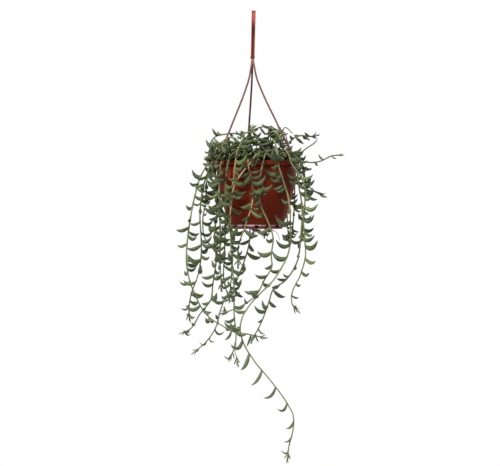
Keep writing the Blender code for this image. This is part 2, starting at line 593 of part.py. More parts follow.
def leaves_of(index, line, leaf_length, favoured, crowd):
    """The lines of one stem's leaves. Each goes to the first side, in a seeded order, that has room."""
    if leaf_length == 0:
        return []
    dice = random.Random(SEED * 1000 + index)
    lengths = np.linalg.norm(np.diff(line, axis=0), axis=1)
    knots = np.concatenate([[0], np.cumsum(lengths)])
    placed = []
    place = HOLE_DEPTH + FIRST_LEAF
    slot = 0
    while place < knots[-1]:
        k = min(int(np.searchsorted(knots, place)) - 1, len(line) - 2)
        share = (place - knots[k]) / lengths[k]
        joint = line[k] + share * (line[k + 1] - line[k])
        along = (line[k + 1] - line[k]) / lengths[k]
        young = min(1, YOUNGEST + (1 - YOUNGEST) * (knots[-1] - place) / YOUNG_LENGTH)
        length = leaf_length * young * dice.uniform(*SIZE_RANGE)
        lift = dice.uniform(*LIFT_RANGE)
        jitter = dice.uniform(*TURN_RANGE)
        if favoured is None:
            first = slot * GOLDEN_ANGLE - SIDEWAYS * math.sin(2 * slot * GOLDEN_ANGLE)
        else:
            first, jitter = math.radians(favoured), jitter * LOOSE
        for step in range(TURNS_TRIED):
            turn = first + jitter + TURN_STEP * ((step + 1) // 2) * (-1) ** step
            leaf = leaf_line(joint, along, turn, length, lift, slot)
            fat = leaf_radius(joint, length)
            samples = np.concatenate([leaf[1:], (leaf[1:] + leaf[:-1]) / 2])
            if clear_of_pot(samples, fat) and crowd.room(leaf, fat, index) > LEAF_CLEARANCE:
                placed.append(leaf)
                crowd.add(leaf, [fat] * 4, index)
                break
        slot += 1
        place += LEAF_SPACING * dice.uniform(*SPACING_RANGE) * max(young, CLOSEST)
        if joint[2] < RIM_Z:
            place += LEAF_SPACING * SLANT_SPARSE * (1 - abs(along[2]))
        if joint[2] < LOW_Z:
            place += LEAF_SPACING * (SPARSE - 1)
    return placed


def leaf_object(leaf):
    """A banana with a keel along its belly, its root inside the stem."""
    length = float(np.linalg.norm(np.diff(leaf, axis=0), axis=1).sum())
    radii = [leaf_radius(leaf[0], length) * share for share in LEAF_FATNESS]
    belly = Vector((leaf[1] + leaf[2] - leaf[0] - leaf[3]).tolist())
    bm = bmesh.new()
    tube(bm, leaf, radii, LEAF_SIDES, belly)
    return object_of("leaf", bm)


def make_vine(number, line, leaves):
    """One stem with all of its leaves, fused into one piece."""
    material = plain_material(f"vine_{number:02d}_skin", LEAFY_COLOR if leaves else DRY_COLOR, 0.5)
    bm = bmesh.new()
    tube(bm, line, stem_radii(line), STEM_SIDES, Vector((1, 0, 0)))
    vine = object_of(f"vine_{number:02d}", bm, material)
    if leaves:
        boolean(vine, [leaf_object(leaf) for leaf in leaves], "UNION")
    shade(vine, 50)


def make_plant():
    """All the stems, then the leaves, which are placed one stem after another where there is room."""
    stems = []
    for leaf_length, favoured, root, way in STEMS:
        root = np.array(root) * MM
        stems.append((leaf_length * MM, favoured, root, stem_line(root, np.array(way) * MM)))
    crowd = Crowd()
    for index, (_, _, _, line) in enumerate(stems):
        crowd.add(line, stem_radii(line), index)
    for angle in LEG_ANGLES:
        line = [np.array(p) for p in leg_line(angle)]
        crowd.add(line, [LEG_RADIUS] * len(line), HANGER)
    for index, (leaf_length, favoured, _, line) in enumerate(stems):
        leaves = leaves_of(index, line, leaf_length, favoured, crowd)
        make_vine(index + 1, line, leaves)
    return [root for _, _, root, _ in stems]


for old in list(bpy.data.objects):
    bpy.data.objects.remove(old)
make_pot()
make_hanger()
roots = make_plant()
make_soil(roots)
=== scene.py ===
"""A string of bananas plant trailing from a red-brown hanging pot, with every surface finished.

Metres, +Z up, the front is -Y, and the origin is the hang point inside the hook, as in the solid model.
The sections follow the plant as it is put together: pot, hanger, soil, stems, leaves, then the studio.
"""

import math
import random

import bpy
import numpy as np
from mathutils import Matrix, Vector


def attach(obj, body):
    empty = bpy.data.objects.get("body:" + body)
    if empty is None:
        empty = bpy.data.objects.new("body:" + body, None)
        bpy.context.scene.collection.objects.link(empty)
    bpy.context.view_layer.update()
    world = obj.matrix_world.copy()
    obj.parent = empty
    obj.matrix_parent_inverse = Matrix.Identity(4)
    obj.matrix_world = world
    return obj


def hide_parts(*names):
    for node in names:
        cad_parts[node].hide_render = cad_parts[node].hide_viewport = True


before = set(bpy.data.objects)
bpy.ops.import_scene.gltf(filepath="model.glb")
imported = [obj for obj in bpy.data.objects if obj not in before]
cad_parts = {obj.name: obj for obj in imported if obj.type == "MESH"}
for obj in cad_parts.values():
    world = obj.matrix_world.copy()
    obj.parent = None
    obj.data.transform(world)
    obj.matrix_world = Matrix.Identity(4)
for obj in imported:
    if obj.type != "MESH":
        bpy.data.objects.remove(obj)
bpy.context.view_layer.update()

# The pot. A moulded plastic pot, 154 mm across its rolled lip, nearly upright at the top and tucked in
# below. Water leaves by slots round the foot of its wall and six holes in its floor. Three small holes go
# through the flange under the lip. The pinkish foot and a pale line along the tops of the slots are painted
# highlights.
MM = 0.001  # a millimetre, in metres
POT_X = 5 * MM
RIM_Z = -269 * MM
RIM_RADIUS = 77 * MM
LIP_DEPTH = 7.5 * MM
LIP_THICKNESS = 1.6 * MM
RIM_THICKNESS = 1.8 * MM  # of the flange that joins the lip to the wall
WALL_THICKNESS = 1.8 * MM
POT_HEIGHT = 121.5 * MM
FLOOR_THICKNESS = 2 * MM
FLOOR_RISE = 1 * MM  # of the floor's underside, inside the foot
# The wall's outer radius at each depth below the rim, in millimetres.
WALL_OUTLINE = np.array([(1.8, 70.2), (14, 71.3), (30, 71.2), (45, 68.6), (60, 64.8), (76, 60.8), (91, 56.6),
                         (103, 52.6), (111, 49.4), (115.5, 47.2), (121.5, 46)]) * MM
SLOT_COUNT = 14
SLOT_WIDTH = 8 * MM
SLOT_TOP = 115.7 * MM  # down from the rim
SLOT_BOTTOM = 119.3 * MM
DRAIN_CIRCLE = 30 * MM
DRAIN_RADIUS = 2.8 * MM
DRAIN_COUNT = 6
LEG_CIRCLE = 72.8 * MM
LEG_ANGLES = (112, -110, -14)  # degrees from the back towards the right
LEG_HOLE_RADIUS = 2 * MM
POT_COLUMNS = 192
WALL_ROWS = 68
WALL_TRIM = 1.2 * MM  # left at the wall's ends for their rounding
AXIS_GAP = 0.3 * MM  # a turned profile stops this far from its axis, where a small flat face closes it
CUTTER_SIDES = 24
POT_REDS = ((0.205, 0.026, 0.005), (0.225, 0.030, 0.012))  # low on the wall and at the rim
POT_MOTTLE = (0.13, 0.015, 0.005)
POT_DUST = (0.24, 0.036, 0.022)
POT_RUNS = (0.19, 0.030, 0.016)  # where water has run down
# Painted highlights on the pot's foot and along the tops of its slots.
FOOT_HIGHLIGHT = (0.30, 0.07, 0.08)
SLOT_HIGHLIGHT = (0.72, 0.56, 0.55)


def hermite(points, knots, slopes, places):
    """The smooth curve through points at knots: on each span, with t from 0 to 1 and h the span's length,
    (2t^3-3t^2+1) p0 + (3t^2-2t^3) p1 + (t^3-2t^2+t) h m0 + (t^3-t^2) h m1."""
    span = np.clip(np.searchsorted(knots, places, side="right") - 1, 0, len(points) - 2)
    size = (knots[1:] - knots[:-1])[span, None]
    t = (places[:, None] - knots[span, None]) / size
    return ((2 * t**3 - 3 * t**2 + 1) * points[span] + (3 * t**2 - 2 * t**3) * points[span + 1]
            + (t**3 - 2 * t**2 + t) * size * slopes[span] + (t**3 - t**2) * size * slopes[span + 1])


def distances_along(line):
    """How far along the line each of its points is."""
    return np.concatenate([[0], np.cumsum(np.linalg.norm(np.diff(line, axis=0), axis=1))])


def smooth_line(points, count):
    """The smooth curve through given points, each with a slope from its neighbours on both sides."""
    points = np.array(points, float)
    knots = distances_along(points)
    return hermite(points, knots, np.gradient(points, knots, axis=0), np.linspace(0, knots[-1], count))


def rounded(corners, steps=5):
    """An outline with its corners (x, y, cut) rounded. Each becomes the curve (1-t)^2 a + 2t(1-t) c + t^2 b,
    where c is the corner and a and b lie at the distance cut from it towards its neighbours."""
    spots = np.array([corner[:2] for corner in corners], float)
    t = np.linspace(0, 1, steps)[:, None]
    line = [spots[:1]]
    for before, spot, after, (_, _, cut) in zip(spots, spots[1:], spots[2:], corners[1:-1]):
        a = spot + (before - spot) * cut / np.linalg.norm(before - spot)
        b = spot + (after - spot) * cut / np.linalg.norm(after - spot)
        line.append((1 - t) ** 2 * a + 2 * t * (1 - t) * spot + t**2 * b if cut else spot[None])
    return np.vstack([*line, spots[-1:]])


def skin(name, rings, **attributes):
    """A mesh over rings of points, an array (part, row, column, 3). Each point joins the next one of its
    row, which closes on itself, and the row after. A flat face closes both ends of a part. The UV map is
    (column, row), each from 0 to 1, and an attribute gives each part, row or point a number."""
    parts, rows, columns = rings.shape[:3]
    index = np.arange(parts * rows * columns).reshape(parts, rows, columns)
    onward = np.roll(index, -1, axis=2)
    quads = np.stack([index[:, :-1], onward[:, :-1], onward[:, 1:], index[:, 1:]], axis=-1)
    ends = np.stack([index[:, 0, ::-1], index[:, -1]], axis=1)
    corners = np.concatenate([quads.ravel(), ends.ravel()])
    starts = np.concatenate([np.arange(0, quads.size, 4), quads.size + np.arange(parts * 2) * columns])
    u = np.broadcast_to(np.arange(columns)[:, None] + (0, 1, 1, 0), quads.shape) / columns
    v = np.broadcast_to(np.arange(rows - 1)[:, None, None] + (0, 0, 1, 1), quads.shape) / (rows - 1)
    end_v = np.broadcast_to(np.array([0, 1])[:, None], ends.shape)
    uv = np.stack([np.concatenate([u.ravel(), np.full(ends.size, 0.5)]),
                   np.concatenate([v.ravel(), end_v.ravel()])], axis=1)
    mesh = bpy.data.meshes.new(name)
    mesh.vertices.add(index.size)
    mesh.vertices.foreach_set("co", rings.astype(np.float32).ravel())
    mesh.loops.add(len(corners))
    mesh.loops.foreach_set("vertex_index", corners.astype(np.int32))
    mesh.polygons.add(len(starts))
    mesh.polygons.foreach_set("loop_start", starts.astype(np.int32))
    mesh.uv_layers.new(name="UVMap").data.foreach_set("uv", uv.astype(np.float32).ravel())
    for key, values in attributes.items():
        values = np.asarray(values, np.float32)
        values = values.reshape(values.shape + (1,) * (3 - values.ndim))
        filled = np.ascontiguousarray(np.broadcast_to(values, (parts, rows, columns)))
        mesh.attributes.new(key, "FLOAT", "POINT").data.foreach_set("value", filled.ravel())
    mesh.update(calc_edges=True)
    mesh.shade_smooth()
    piece = bpy.data.objects.new(name, mesh)
    bpy.context.scene.collection.objects.link(piece)
    return piece


def turned(profile, angles, center_x):
    """Rings for skin from (radius, z) points: point (r cos a, r sin a, z) for each angle a."""
    radius, z = profile.T
    x = center_x + radius[:, None] * np.cos(angles)
    y = radius[:, None] * np.sin(angles)
    return np.stack([x, y, np.broadcast_to(z[:, None], x.shape)], axis=-1)[None]


def rod(center_x, center_y, radius, bottom, top):
    """An upright round rod, which cuts a hole."""
    angles = np.arange(CUTTER_SIDES) * math.tau / CUTTER_SIDES
    rings = turned(np.array([(radius, bottom), (radius, top)]), angles, center_x)
    rings[..., 1] += center_y
    return skin("cutter", rings)


def cut(piece, cutters):
    """Takes the cutters out of the piece and removes them."""
    group = bpy.data.collections.new("cutters")
    bpy.context.scene.collection.children.link(group)
    for cutter in cutters:
        bpy.context.scene.collection.objects.unlink(cutter)
        group.objects.link(cutter)
    modifier = piece.modifiers.new("Holes", "BOOLEAN")
    modifier.operand_type = "COLLECTION"
    modifier.collection = group
    holed = bpy.data.meshes.new_from_object(piece.evaluated_get(bpy.context.evaluated_depsgraph_get()))
    piece.modifiers.clear()
    piece.data = holed
    for cutter in cutters:
        bpy.data.objects.remove(cutter)
    bpy.data.collections.remove(group)


def crease(piece, degrees):
    """Keeps edges sharper than this many degrees crisp."""
    piece.data.set_sharp_from_angle(angle=math.radians(degrees))


def hold(piece, material, slot, *nodes):
    """Gives a piece its finish and holds it on the plant's one body, in the place of the nodes named."""
    piece.data.materials.clear()
    piece.data.materials.append(material)
    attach(piece, "root")
    if nodes:
        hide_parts(*nodes)


def plug(tree, kind, sockets=(), **settings):
    """Adds a shader node with these settings. sockets maps an input's name or number to a value or to the
    output of another node."""
    made = tree.nodes.new("ShaderNode" + kind)
    for key, value in settings.items():
        setattr(made, key, value)
    for key, value in dict(sockets).items():
        if isinstance(value, bpy.types.NodeSocket):
            tree.links.new(value, made.inputs[key])
        else:
            made.inputs[key].default_value = value
    return made


def finish_of(name, **values):
    """A material, its node tree, and its Principled shader with these sockets set."""
    material = bpy.data.materials.new(name)
    material.use_nodes = True
    tree = material.node_tree
    shader = tree.nodes["Principled BSDF"]
    for key, value in values.items():
        shader.inputs[key.replace("_", " ").title().replace("Ior", "IOR")].default_value = value
    return material, tree, shader


def spread(tree, value, low, high, start=0.0, end=1.0, **settings):
    """A number that goes from start to end as the value goes from low to high, and is level beyond."""
    sockets = {"Value": value, "From Min": low, "From Max": high, "To Min": start, "To Max": end}
    return plug(tree, "MapRange", sockets, **settings).outputs[0]


def times(tree, first, second):
    """The product of two numbers."""
    return plug(tree, "Math", {0: first, 1: second}, operation="MULTIPLY").outputs[0]


def away_from(tree, value, level):
    """How far the value is from the level, either way."""
    gap = plug(tree, "Math", {0: value, 1: level}, operation="SUBTRACT")
    return plug(tree, "Math", {0: gap.outputs[0]}, operation="ABSOLUTE").outputs[0]


def carried_share(tree, key):
    """The number that the mesh carries at each point under this name."""
    return plug(tree, "Attribute", attribute_name=key).outputs["Fac"]


def noise(tree, place, scale, detail, stretch):
    """Noise from 0 to 1 over these coordinates."""
    stretched = plug(tree, "Mapping", {0: place, "Scale": stretch})
    sockets = {"Vector": stretched.outputs[0], "Scale": scale, "Detail": detail}
    return plug(tree, "TexNoise", sockets).outputs["Fac"]


def speckle(tree, scale, low, high, detail=3, stretch=(1, 1, 1)):
    """Noise over Object coordinates, from 0 to 1 between its low and high levels."""
    place = plug(tree, "TexCoord").outputs["Object"]
    return spread(tree, noise(tree, place, scale, detail, stretch), low, high)


def blend(tree, share, first, second):
    """A colour between two, by a share from 0 to 1."""
    first, second = ((*color, 1) if isinstance(color, tuple) else color for color in (first, second))
    return plug(tree, "Mix", {0: share, 6: first, 7: second}, data_type="RGBA").outputs[2]


def dress(tree, shader, color, relief, strength, depth):
    """Gives the shader its colour, and its fine relief by a height from 0 to 1."""
    bump = plug(tree, "Bump", {"Height": relief, "Strength": strength, "Distance": depth})
    tree.links.new(color, shader.inputs["Base Color"])
    tree.links.new(bump.outputs[0], shader.inputs["Normal"])


def wall_radius(depth):
    """The wall's outer radius at a depth, straight between the outline's points. The leaf rule takes it."""
    return float(np.interp(depth, *WALL_OUTLINE.T))


def slot_cutter(turn):
    """A flat block through the foot of the wall at this angle, its corners a little rounded."""
    half, low, high = SLOT_WIDTH / 2, RIM_Z - SLOT_BOTTOM, RIM_Z - SLOT_TOP
    outline = rounded([(0, low, 0), (half, low, 1 * MM), (half, high, 1 * MM), (-half, high, 1 * MM),
                       (-half, low, 1 * MM), (0, low, 0)], 4)[:-1]
    reach = wall_radius(SLOT_BOTTOM) + np.array([-5 * MM, 4 * MM])[:, None]
    side, z = outline.T
    x = POT_X + reach * math.cos(turn) - side * math.sin(turn)
    y = reach * math.sin(turn) + side * math.cos(turn)
    return skin("cutter", np.stack([x, y, np.broadcast_to(z, x.shape)], axis=-1)[None])


def pot_profile():
    """(radius, z) from under the floor, up the wall, over the lip, and down inside by fewer points."""
    outer, under = wall_radius(POT_HEIGHT), RIM_Z - POT_HEIGHT
    raised = under + FLOOR_RISE
    base = [(AXIS_GAP, raised, 0), (outer - 6 * MM, raised, 1 * MM), (outer - 4.5 * MM, under, 0.6 * MM),
            (outer, under, 0.7 * MM), (wall_radius(POT_HEIGHT - FLOOR_RISE), raised, 0)]
    depths = np.linspace(POT_HEIGHT - WALL_TRIM, WALL_OUTLINE[0, 0] + WALL_TRIM, WALL_ROWS)
    knots, outline = WALL_OUTLINE[:, 0], WALL_OUTLINE[:, 1:]
    radii = hermite(outline, knots, np.gradient(outline, knots, axis=0), depths)[:, 0]
    wall = np.stack([radii, RIM_Z - depths], axis=1)
    groove, flange, hem = RIM_RADIUS - LIP_THICKNESS, RIM_Z - RIM_THICKNESS, RIM_Z - LIP_DEPTH
    lip = [(*wall[-1], 0), (radii[-1] + 0.3 * MM, flange, 0.8 * MM), (groove, flange, 0.8 * MM),
           (groove, hem, 0.5 * MM), (RIM_RADIUS - 0.3 * MM, hem, 0.5 * MM), (RIM_RADIUS, RIM_Z, 1.3 * MM),
           (radii[-1] - WALL_THICKNESS, RIM_Z, 0.7 * MM)]
    inside = [(radius - WALL_THICKNESS, z) for radius, z in wall[::-6] if RIM_Z - z < POT_HEIGHT - 4 * MM]
    lip.append((*inside[0], 0))
    floor = under + FLOOR_THICKNESS
    end = [(*inside[-1], 0), (inside[-1][0] - 1 * MM, floor, 1 * MM), (AXIS_GAP, floor, 0)]
    return np.vstack([rounded(base, 4)[:-1], wall, rounded(lip)[1:], inside[1:-1], rounded(end, 4)])


def pot_finish():
    """Red-brown plastic that still shows its mould's fine grain, with dust, dried water and rubbed spots, and
    painted highlights: a lighter pinkish foot and a pale speckled line along the tops of the slots."""
    material, tree, shader = finish_of("pot_red_plastic", specular_ior_level=0.1)
    height = plug(tree, "SeparateXYZ", {0: plug(tree, "TexCoord").outputs["Object"]}).outputs[2]
    color = blend(tree, spread(tree, height, RIM_Z - 90 * MM, RIM_Z), *POT_REDS)
    color = blend(tree, speckle(tree, 22, 0.35, 0.7), color, POT_MOTTLE)
    dust = speckle(tree, 9, 0.52, 0.78, 6, (1, 1, 0.45))
    color = blend(tree, dust, color, POT_DUST)
    color = blend(tree, speckle(tree, 60, 0.58, 0.74, 4, (1, 1, 0.06)), color, POT_RUNS)
    # Painted highlights: the foot below the slots is lighter pink, and a pale speckled line runs along their
    # tops.
    slots = RIM_Z - SLOT_TOP
    color = blend(tree, spread(tree, height, slots + 1 * MM, slots - 0.5 * MM, 0, 0.7), color, FOOT_HIGHLIGHT)
    line = spread(tree, away_from(tree, height, slots + 0.3 * MM), 1.6 * MM, 0.7 * MM)
    color = blend(tree, times(tree, line, speckle(tree, 90, 0.36, 0.5, 5)), color, SLOT_HIGHLIGHT)
    tree.links.new(spread(tree, dust, 0, 1, 0.38, 0.62), shader.inputs["Roughness"])
    dress(tree, shader, color, speckle(tree, 900, 0.2, 0.8, 2), 0.12, 0.2 * MM)
    return material


pot = skin("pot_shell", turned(pot_profile(), np.arange(POT_COLUMNS) * math.tau / POT_COLUMNS, POT_X))
leg_holes = [(POT_X + LEG_CIRCLE * math.sin(turn), LEG_CIRCLE * math.cos(turn))
             for turn in map(math.radians, LEG_ANGLES)]
drains = [(POT_X + DRAIN_CIRCLE * math.cos(turn), DRAIN_CIRCLE * math.sin(turn))
          for turn in np.arange(DRAIN_COUNT) * math.tau / DRAIN_COUNT]
floor_z = RIM_Z - POT_HEIGHT
# Every cutter reaches a few millimetres past the plastic on both sides.
cut(pot, [rod(x, y, LEG_HOLE_RADIUS, RIM_Z - 4 * MM, RIM_Z + 2 * MM) for x, y in leg_holes]
    + [rod(x, y, DRAIN_RADIUS, floor_z - 3 * MM, floor_z + 5 * MM) for x, y in drains]
    + [slot_cutter((k + 0.5) * math.tau / SLOT_COUNT) for k in range(SLOT_COUNT)])
crease(pot, 40)
hold(pot, pot_finish(), "pot_plastic", "pot")

# The hanger. One plastic moulding: a flat strap with a groove down its face, bent over into the hook, a
# collar at the strap's foot, and three thin legs that clip through the rim, each held by a barb.
HOOK_RADIUS = 7.5 * MM
STRAP_WIDTH = 7.2 * MM
STRAP_THICKNESS = 3 * MM
STRAP_GROOVE = 0.7 * MM
STRAP_X = -2 * MM  # at the strap's foot, where the collar and the legs start
STRAP_FOOT_Z = -84 * MM
STRAP_ROWS = 150
BEND_ROWS = 13
COLLAR_COLUMNS = 40
LEG_RADIUS = 1.7 * MM
LEG_ROWS = 60
LEG_COLUMNS = 14
BARB_RADIUS = 2.3 * MM
BARB_LENGTH = 4.7 * MM
HANGER_REDS = ((0.20, 0.046, 0.034), (0.145, 0.030, 0.022))
# Each tint's colour. The meshes carry its share: a painted highlight on the strap's edges, painted light on
# the bend, painted shade in the groove, the hub where the legs meet, the legs, and painted shade on what lies
# in shade.
HANGER_TINTS = {"edge": (0.40, 0.125, 0.115), "bent": (0.40, 0.070, 0.060), "core": (0.105, 0.022, 0.004),
                "hub": (0.46, 0.24, 0.17), "dull": (0.19, 0.075, 0.070), "dim": (0.075, 0.018, 0.022)}
# The tints that go with the height: where each starts, how far on it would be full, and its most.
# Painted light on the bend and painted shade on the hook's crown go with the height, as does the hub's tint.
LIT_BEND_FADE = (-27 * MM, 10 * MM, 1)
CROWN_FADE = (-4 * MM, 4 * MM, 0.8)
HUB_FADE = (STRAP_FOOT_Z, -1 * MM, 0.85)
LEG_HUB_FADE = (-104 * MM, 12 * MM, 0.6)
# The collar's painted shade.
COLLAR_DIM = 0.4
LEG_DULL = 0.9
# How far out a leg has come, as a share of the way to its hole, at each height in millimetres.
LEG_SHAPE = ((-86, 0.015), (-95, 0.035), (-106, 0.06), (-119, 0.1), (-135, 0.18), (-151, 0.27), (-172, 0.4),
             (-194, 0.545), (-216, 0.685), (-235, 0.815), (-248, 0.905), (-257, 0.965), (-263, 1))


def strap_rings():
    """The strap's section, a rounded bar with a groove, carried along its middle line. That runs from the
    hook's free end round the bend and down the front, then in to the middle. The other two arrays give each
    row's height and, for each column, how close it is to the groove."""
    bend = HOOK_RADIUS + STRAP_THICKNESS / 2
    turns = np.linspace(0, math.pi, BEND_ROWS)
    arc = np.stack([bend * np.cos(turns), bend * np.sin(turns) - HOOK_RADIUS], axis=1)
    end = np.array([(1.18 * bend, -23 * MM), (1.02 * bend, -16 * MM)])
    neck = np.array([(-bend, -20 * MM), (-0.85 * bend, -28 * MM), (-0.4 * bend, -36 * MM),
                     (-0.08 * bend, -43 * MM), (0, -50 * MM), (0, -62 * MM), (0, -74 * MM),
                     (0, STRAP_FOOT_Z)])
    y, z = smooth_line(np.vstack([end, arc, neck]), STRAP_ROWS).T
    along = np.stack([np.gradient(y), np.gradient(z)], axis=1)
    along /= np.linalg.norm(along, axis=1)[:, None]
    half, deep = STRAP_WIDTH / 2, STRAP_THICKNESS / 2
    sunk = deep - STRAP_GROOVE
    section = rounded([(0, -deep, 0), (half, -deep, 0.7 * MM), (half, deep, 0.7 * MM),
                       (half * 0.55, deep, 0.3 * MM), (half * 0.4, sunk, 0.4 * MM),
                       (-half * 0.4, sunk, 0.4 * MM), (-half * 0.55, deep, 0.3 * MM),
                       (-half, deep, 0.7 * MM), (-half, -deep, 0.7 * MM), (0, -deep, 0)], 4)[:-1]
    tip = np.clip(1 - np.linspace(0, 12, len(y)), 0, 1)[:, None]  # the free end is rounded off
    x, out = (section.T[:, None, :] * (1 - 0.45 * tip**2))
    x = STRAP_X * z[:, None] / STRAP_FOOT_Z - x
    rings = np.stack([x, y[:, None] + along[:, 1:] * out, z[:, None] - along[:, :1] * out], axis=-1)[None]
    core = np.clip(2.4 - 3 * np.abs(section[:, 0]) / half, 0, 1) * (section[:, 1] > 0)
    return rings, z[:, None], core


def collar_rings():
    """A squared block that narrows in a step to the hub. A section at height z is |x/a|^4 + |y/b|^4 = 1, and
    a and b shrink by the share that goes with that height, in millimetres over the strap's foot."""
    a = STRAP_WIDTH / 2 + 0.4 * MM
    b = STRAP_THICKNESS / 2 + 1.2 * MM
    levels = rounded([(0.8, 5, 0), (1, 4.6, 0.15), (1, 0.2, 0.15), (0.66, -0.4, 0.1), (0.6, -2, 0.1),
                      (0.42, -8.5, 0.3), (0.3, -10, 0)], 4)
    turn = np.arange(COLLAR_COLUMNS) * math.tau / COLLAR_COLUMNS
    x = np.sign(np.cos(turn)) * np.abs(np.cos(turn)) ** 0.5 * a
    y = np.sign(np.sin(turn)) * np.abs(np.sin(turn)) ** 0.5 * b
    share, height = levels[::-1].T[..., None]
    z = np.broadcast_to(STRAP_FOOT_Z + height * MM, (len(share), len(turn)))
    return np.stack([STRAP_X + share * x, share * y, z], axis=-1)[None]


def carried(line, radii, columns):
    """Round rings along a line. The first direction across it is carried from point to point with no twist:
    each time the part of it that lies along the line is taken out."""
    along = np.gradient(line, axis=0)
    along /= np.linalg.norm(along, axis=1)[:, None]
    across = np.empty_like(along)
    last = np.array([1.0, 0, 0]) if abs(along[0, 0]) < 0.9 else np.array([0, 1.0, 0])
    for k, direction in enumerate(along):
        last = last - direction * (last @ direction)
        last /= np.linalg.norm(last)
        across[k] = last
    other = np.cross(along, across)
    turn = np.arange(columns) * math.tau / columns
    ring = across[:, None] * np.cos(turn)[:, None] + other[:, None] * np.sin(turn)[:, None]
    return line[:, None] + ring * np.asarray(radii)[:, None, None]


def leg_points(x, y):
    """Points down the middle of the leg to the hole at (x, y), straight between them in the leaf rule."""
    heights, shares = np.array(LEG_SHAPE).T
    return np.stack([STRAP_X + (x - STRAP_X) * shares, y * shares, heights * MM], axis=1)


def leg_rings(x, y):
    """A leg down to its hole, then through the rim to a cone-shaped barb with a flat shoulder."""
    shoulder = RIM_Z - RIM_THICKNESS - 0.3 * MM
    leg = smooth_line(leg_points(x, y), LEG_ROWS)
    below = np.array([(LEG_RADIUS, shoulder + 0.05 * MM), (BARB_RADIUS, shoulder),
                      (BARB_RADIUS, shoulder - 0.5 * MM), (LEG_RADIUS * 0.75, shoulder - BARB_LENGTH)])
    barb = np.stack([np.full(len(below), x), np.full(len(below), y), below[:, 1]], axis=1)
    radii = np.concatenate([np.full(LEG_ROWS, LEG_RADIUS), below[:, 0]])
    return carried(np.vstack([leg, barb]), radii, LEG_COLUMNS)


def hanger_finish():
    """The same plastic as the pot's, lighter where light comes through it, with painted highlights on the
    strap's edges and bend, and painted shade in its groove, on the hook's crown, on the collar and on the
    rear leg.
    """
    material, tree, shader = finish_of("hanger_red_plastic", roughness=0.4, specular_ior_level=0.25,
                                       subsurface_weight=0.12, subsurface_scale=2 * MM,
                                       subsurface_radius=(1.0, 0.25, 0.15))
    color = blend(tree, speckle(tree, 120, 0.35, 0.7, 3, (1, 1, 0.15)), *HANGER_REDS)
    for key, tint in HANGER_TINTS.items():
        color = blend(tree, carried_share(tree, key), color, tint)
    dress(tree, shader, color, speckle(tree, 700, 0.2, 0.8, 2, (1, 1, 0.2)), 0.1, 0.1 * MM)
    return material


def fade(height, start, run, most):
    """The share (height - start) / run, kept from 0 to the most."""
    return np.clip((height - start) / run, 0, most)


def hanger_piece(name, rings, **shares):
    """A piece of the hanger, with the share of each tint. Where none is given it takes no tint."""
    piece = skin(name, rings, **{**dict.fromkeys(HANGER_TINTS, [0]), **shares})
    crease(piece, 50)
    hold(piece, hanger_red, "hanger_plastic", "hanger")


hanger_red = hanger_finish()
strap_skin, height, core = strap_rings()
# Painted light on the bend, painted shade in the groove and on the hook's crown, and a painted highlight on
# the strap's other faces.
bent = fade(height, *LIT_BEND_FADE)
hanger_piece("hanger_strap", strap_skin, bent=bent[None], core=(core * (1 - bent))[None],
             edge=((1 - core) * (1 - bent))[None], dim=fade(height, *CROWN_FADE)[None])
collar_skin = collar_rings()
hub = fade(collar_skin[..., 2], *HUB_FADE)
hanger_piece("hanger_collar", collar_skin, hub=hub, dim=COLLAR_DIM - COLLAR_DIM * hub)
leg_skin = np.stack([leg_rings(x, y) for x, y in leg_holes])
hub = fade(leg_skin[..., 2], *LEG_HUB_FADE)
dull = LEG_DULL * (1 - hub)
# Painted shade on the rear leg alone.
rear_leg_alone = np.array((0, 0, 1))[:, None, None]
hanger_piece("hanger_legs", leg_skin, hub=hub, dull=dull, dim=rear_leg_alone * dull)

# The soil. Dark potting mix fills the pot to a finger's breadth under the rim, mounded in the middle. Its
# body is one closed solid with a lumpy top, and crumbs and slivers of bark lie loose on it.
SOIL_EDGE_DEPTH = 11 * MM
SOIL_TOP_DEPTH = 6 * MM
SOIL_GAP = 0.3 * MM
SOIL_COLUMNS = 160
SOIL_SIDE_ROWS = 20
SOIL_TOP_ROWS = 60
LUMP_HEIGHT = 0.55 * MM
CRUMB_COUNT = 900
CRUMB_SIZES = (0.5, 1.5)  # millimetres
CRUMB_STEPS = np.array([-1, -0.4, 0.4, 1])  # where its rings lie along a crumb, in sizes
CRUMB_WIDTHS = np.array([0.35, 1, 0.9, 0.3])  # and their radii
CRUMB_SIDES = 6
CRUMB_SEED = 11
BARK_SHARE = 0.3
BARK_LENGTH = 2.6
BARK_FLATNESS, CRUMB_FLATNESS = 0.45, 0.85
PEAT = ((0.012, 0.0075, 0.005), (0.045, 0.027, 0.016))
DRY_BARK = (0.15, 0.085, 0.045)


def soil_height(radius):
    """The soil's level at a distance from the pot's middle: a shallow dome, r^2 in profile."""
    share = min(radius / wall_radius(SOIL_EDGE_DEPTH), 1)
    return RIM_Z - SOIL_TOP_DEPTH - (SOIL_EDGE_DEPTH - SOIL_TOP_DEPTH) * share**2


def lumps(x, y):
    """Relief from four crossed waves, each shorter and lower than the last, in metres."""
    total = np.zeros_like(x)
    for k, (turn, length) in enumerate(((0.3, 23), (1.9, 14), (3.1, 9.1), (4.4, 6.3))):
        phase = (x * math.cos(turn) + y * math.sin(turn)) * math.tau / (length * MM)
        other = (x * math.sin(turn) - y * math.cos(turn)) * math.tau / (length * 1.31 * MM)
        total += LUMP_HEIGHT / (k + 1) * np.sin(phase + k) * np.sin(other)
    return total


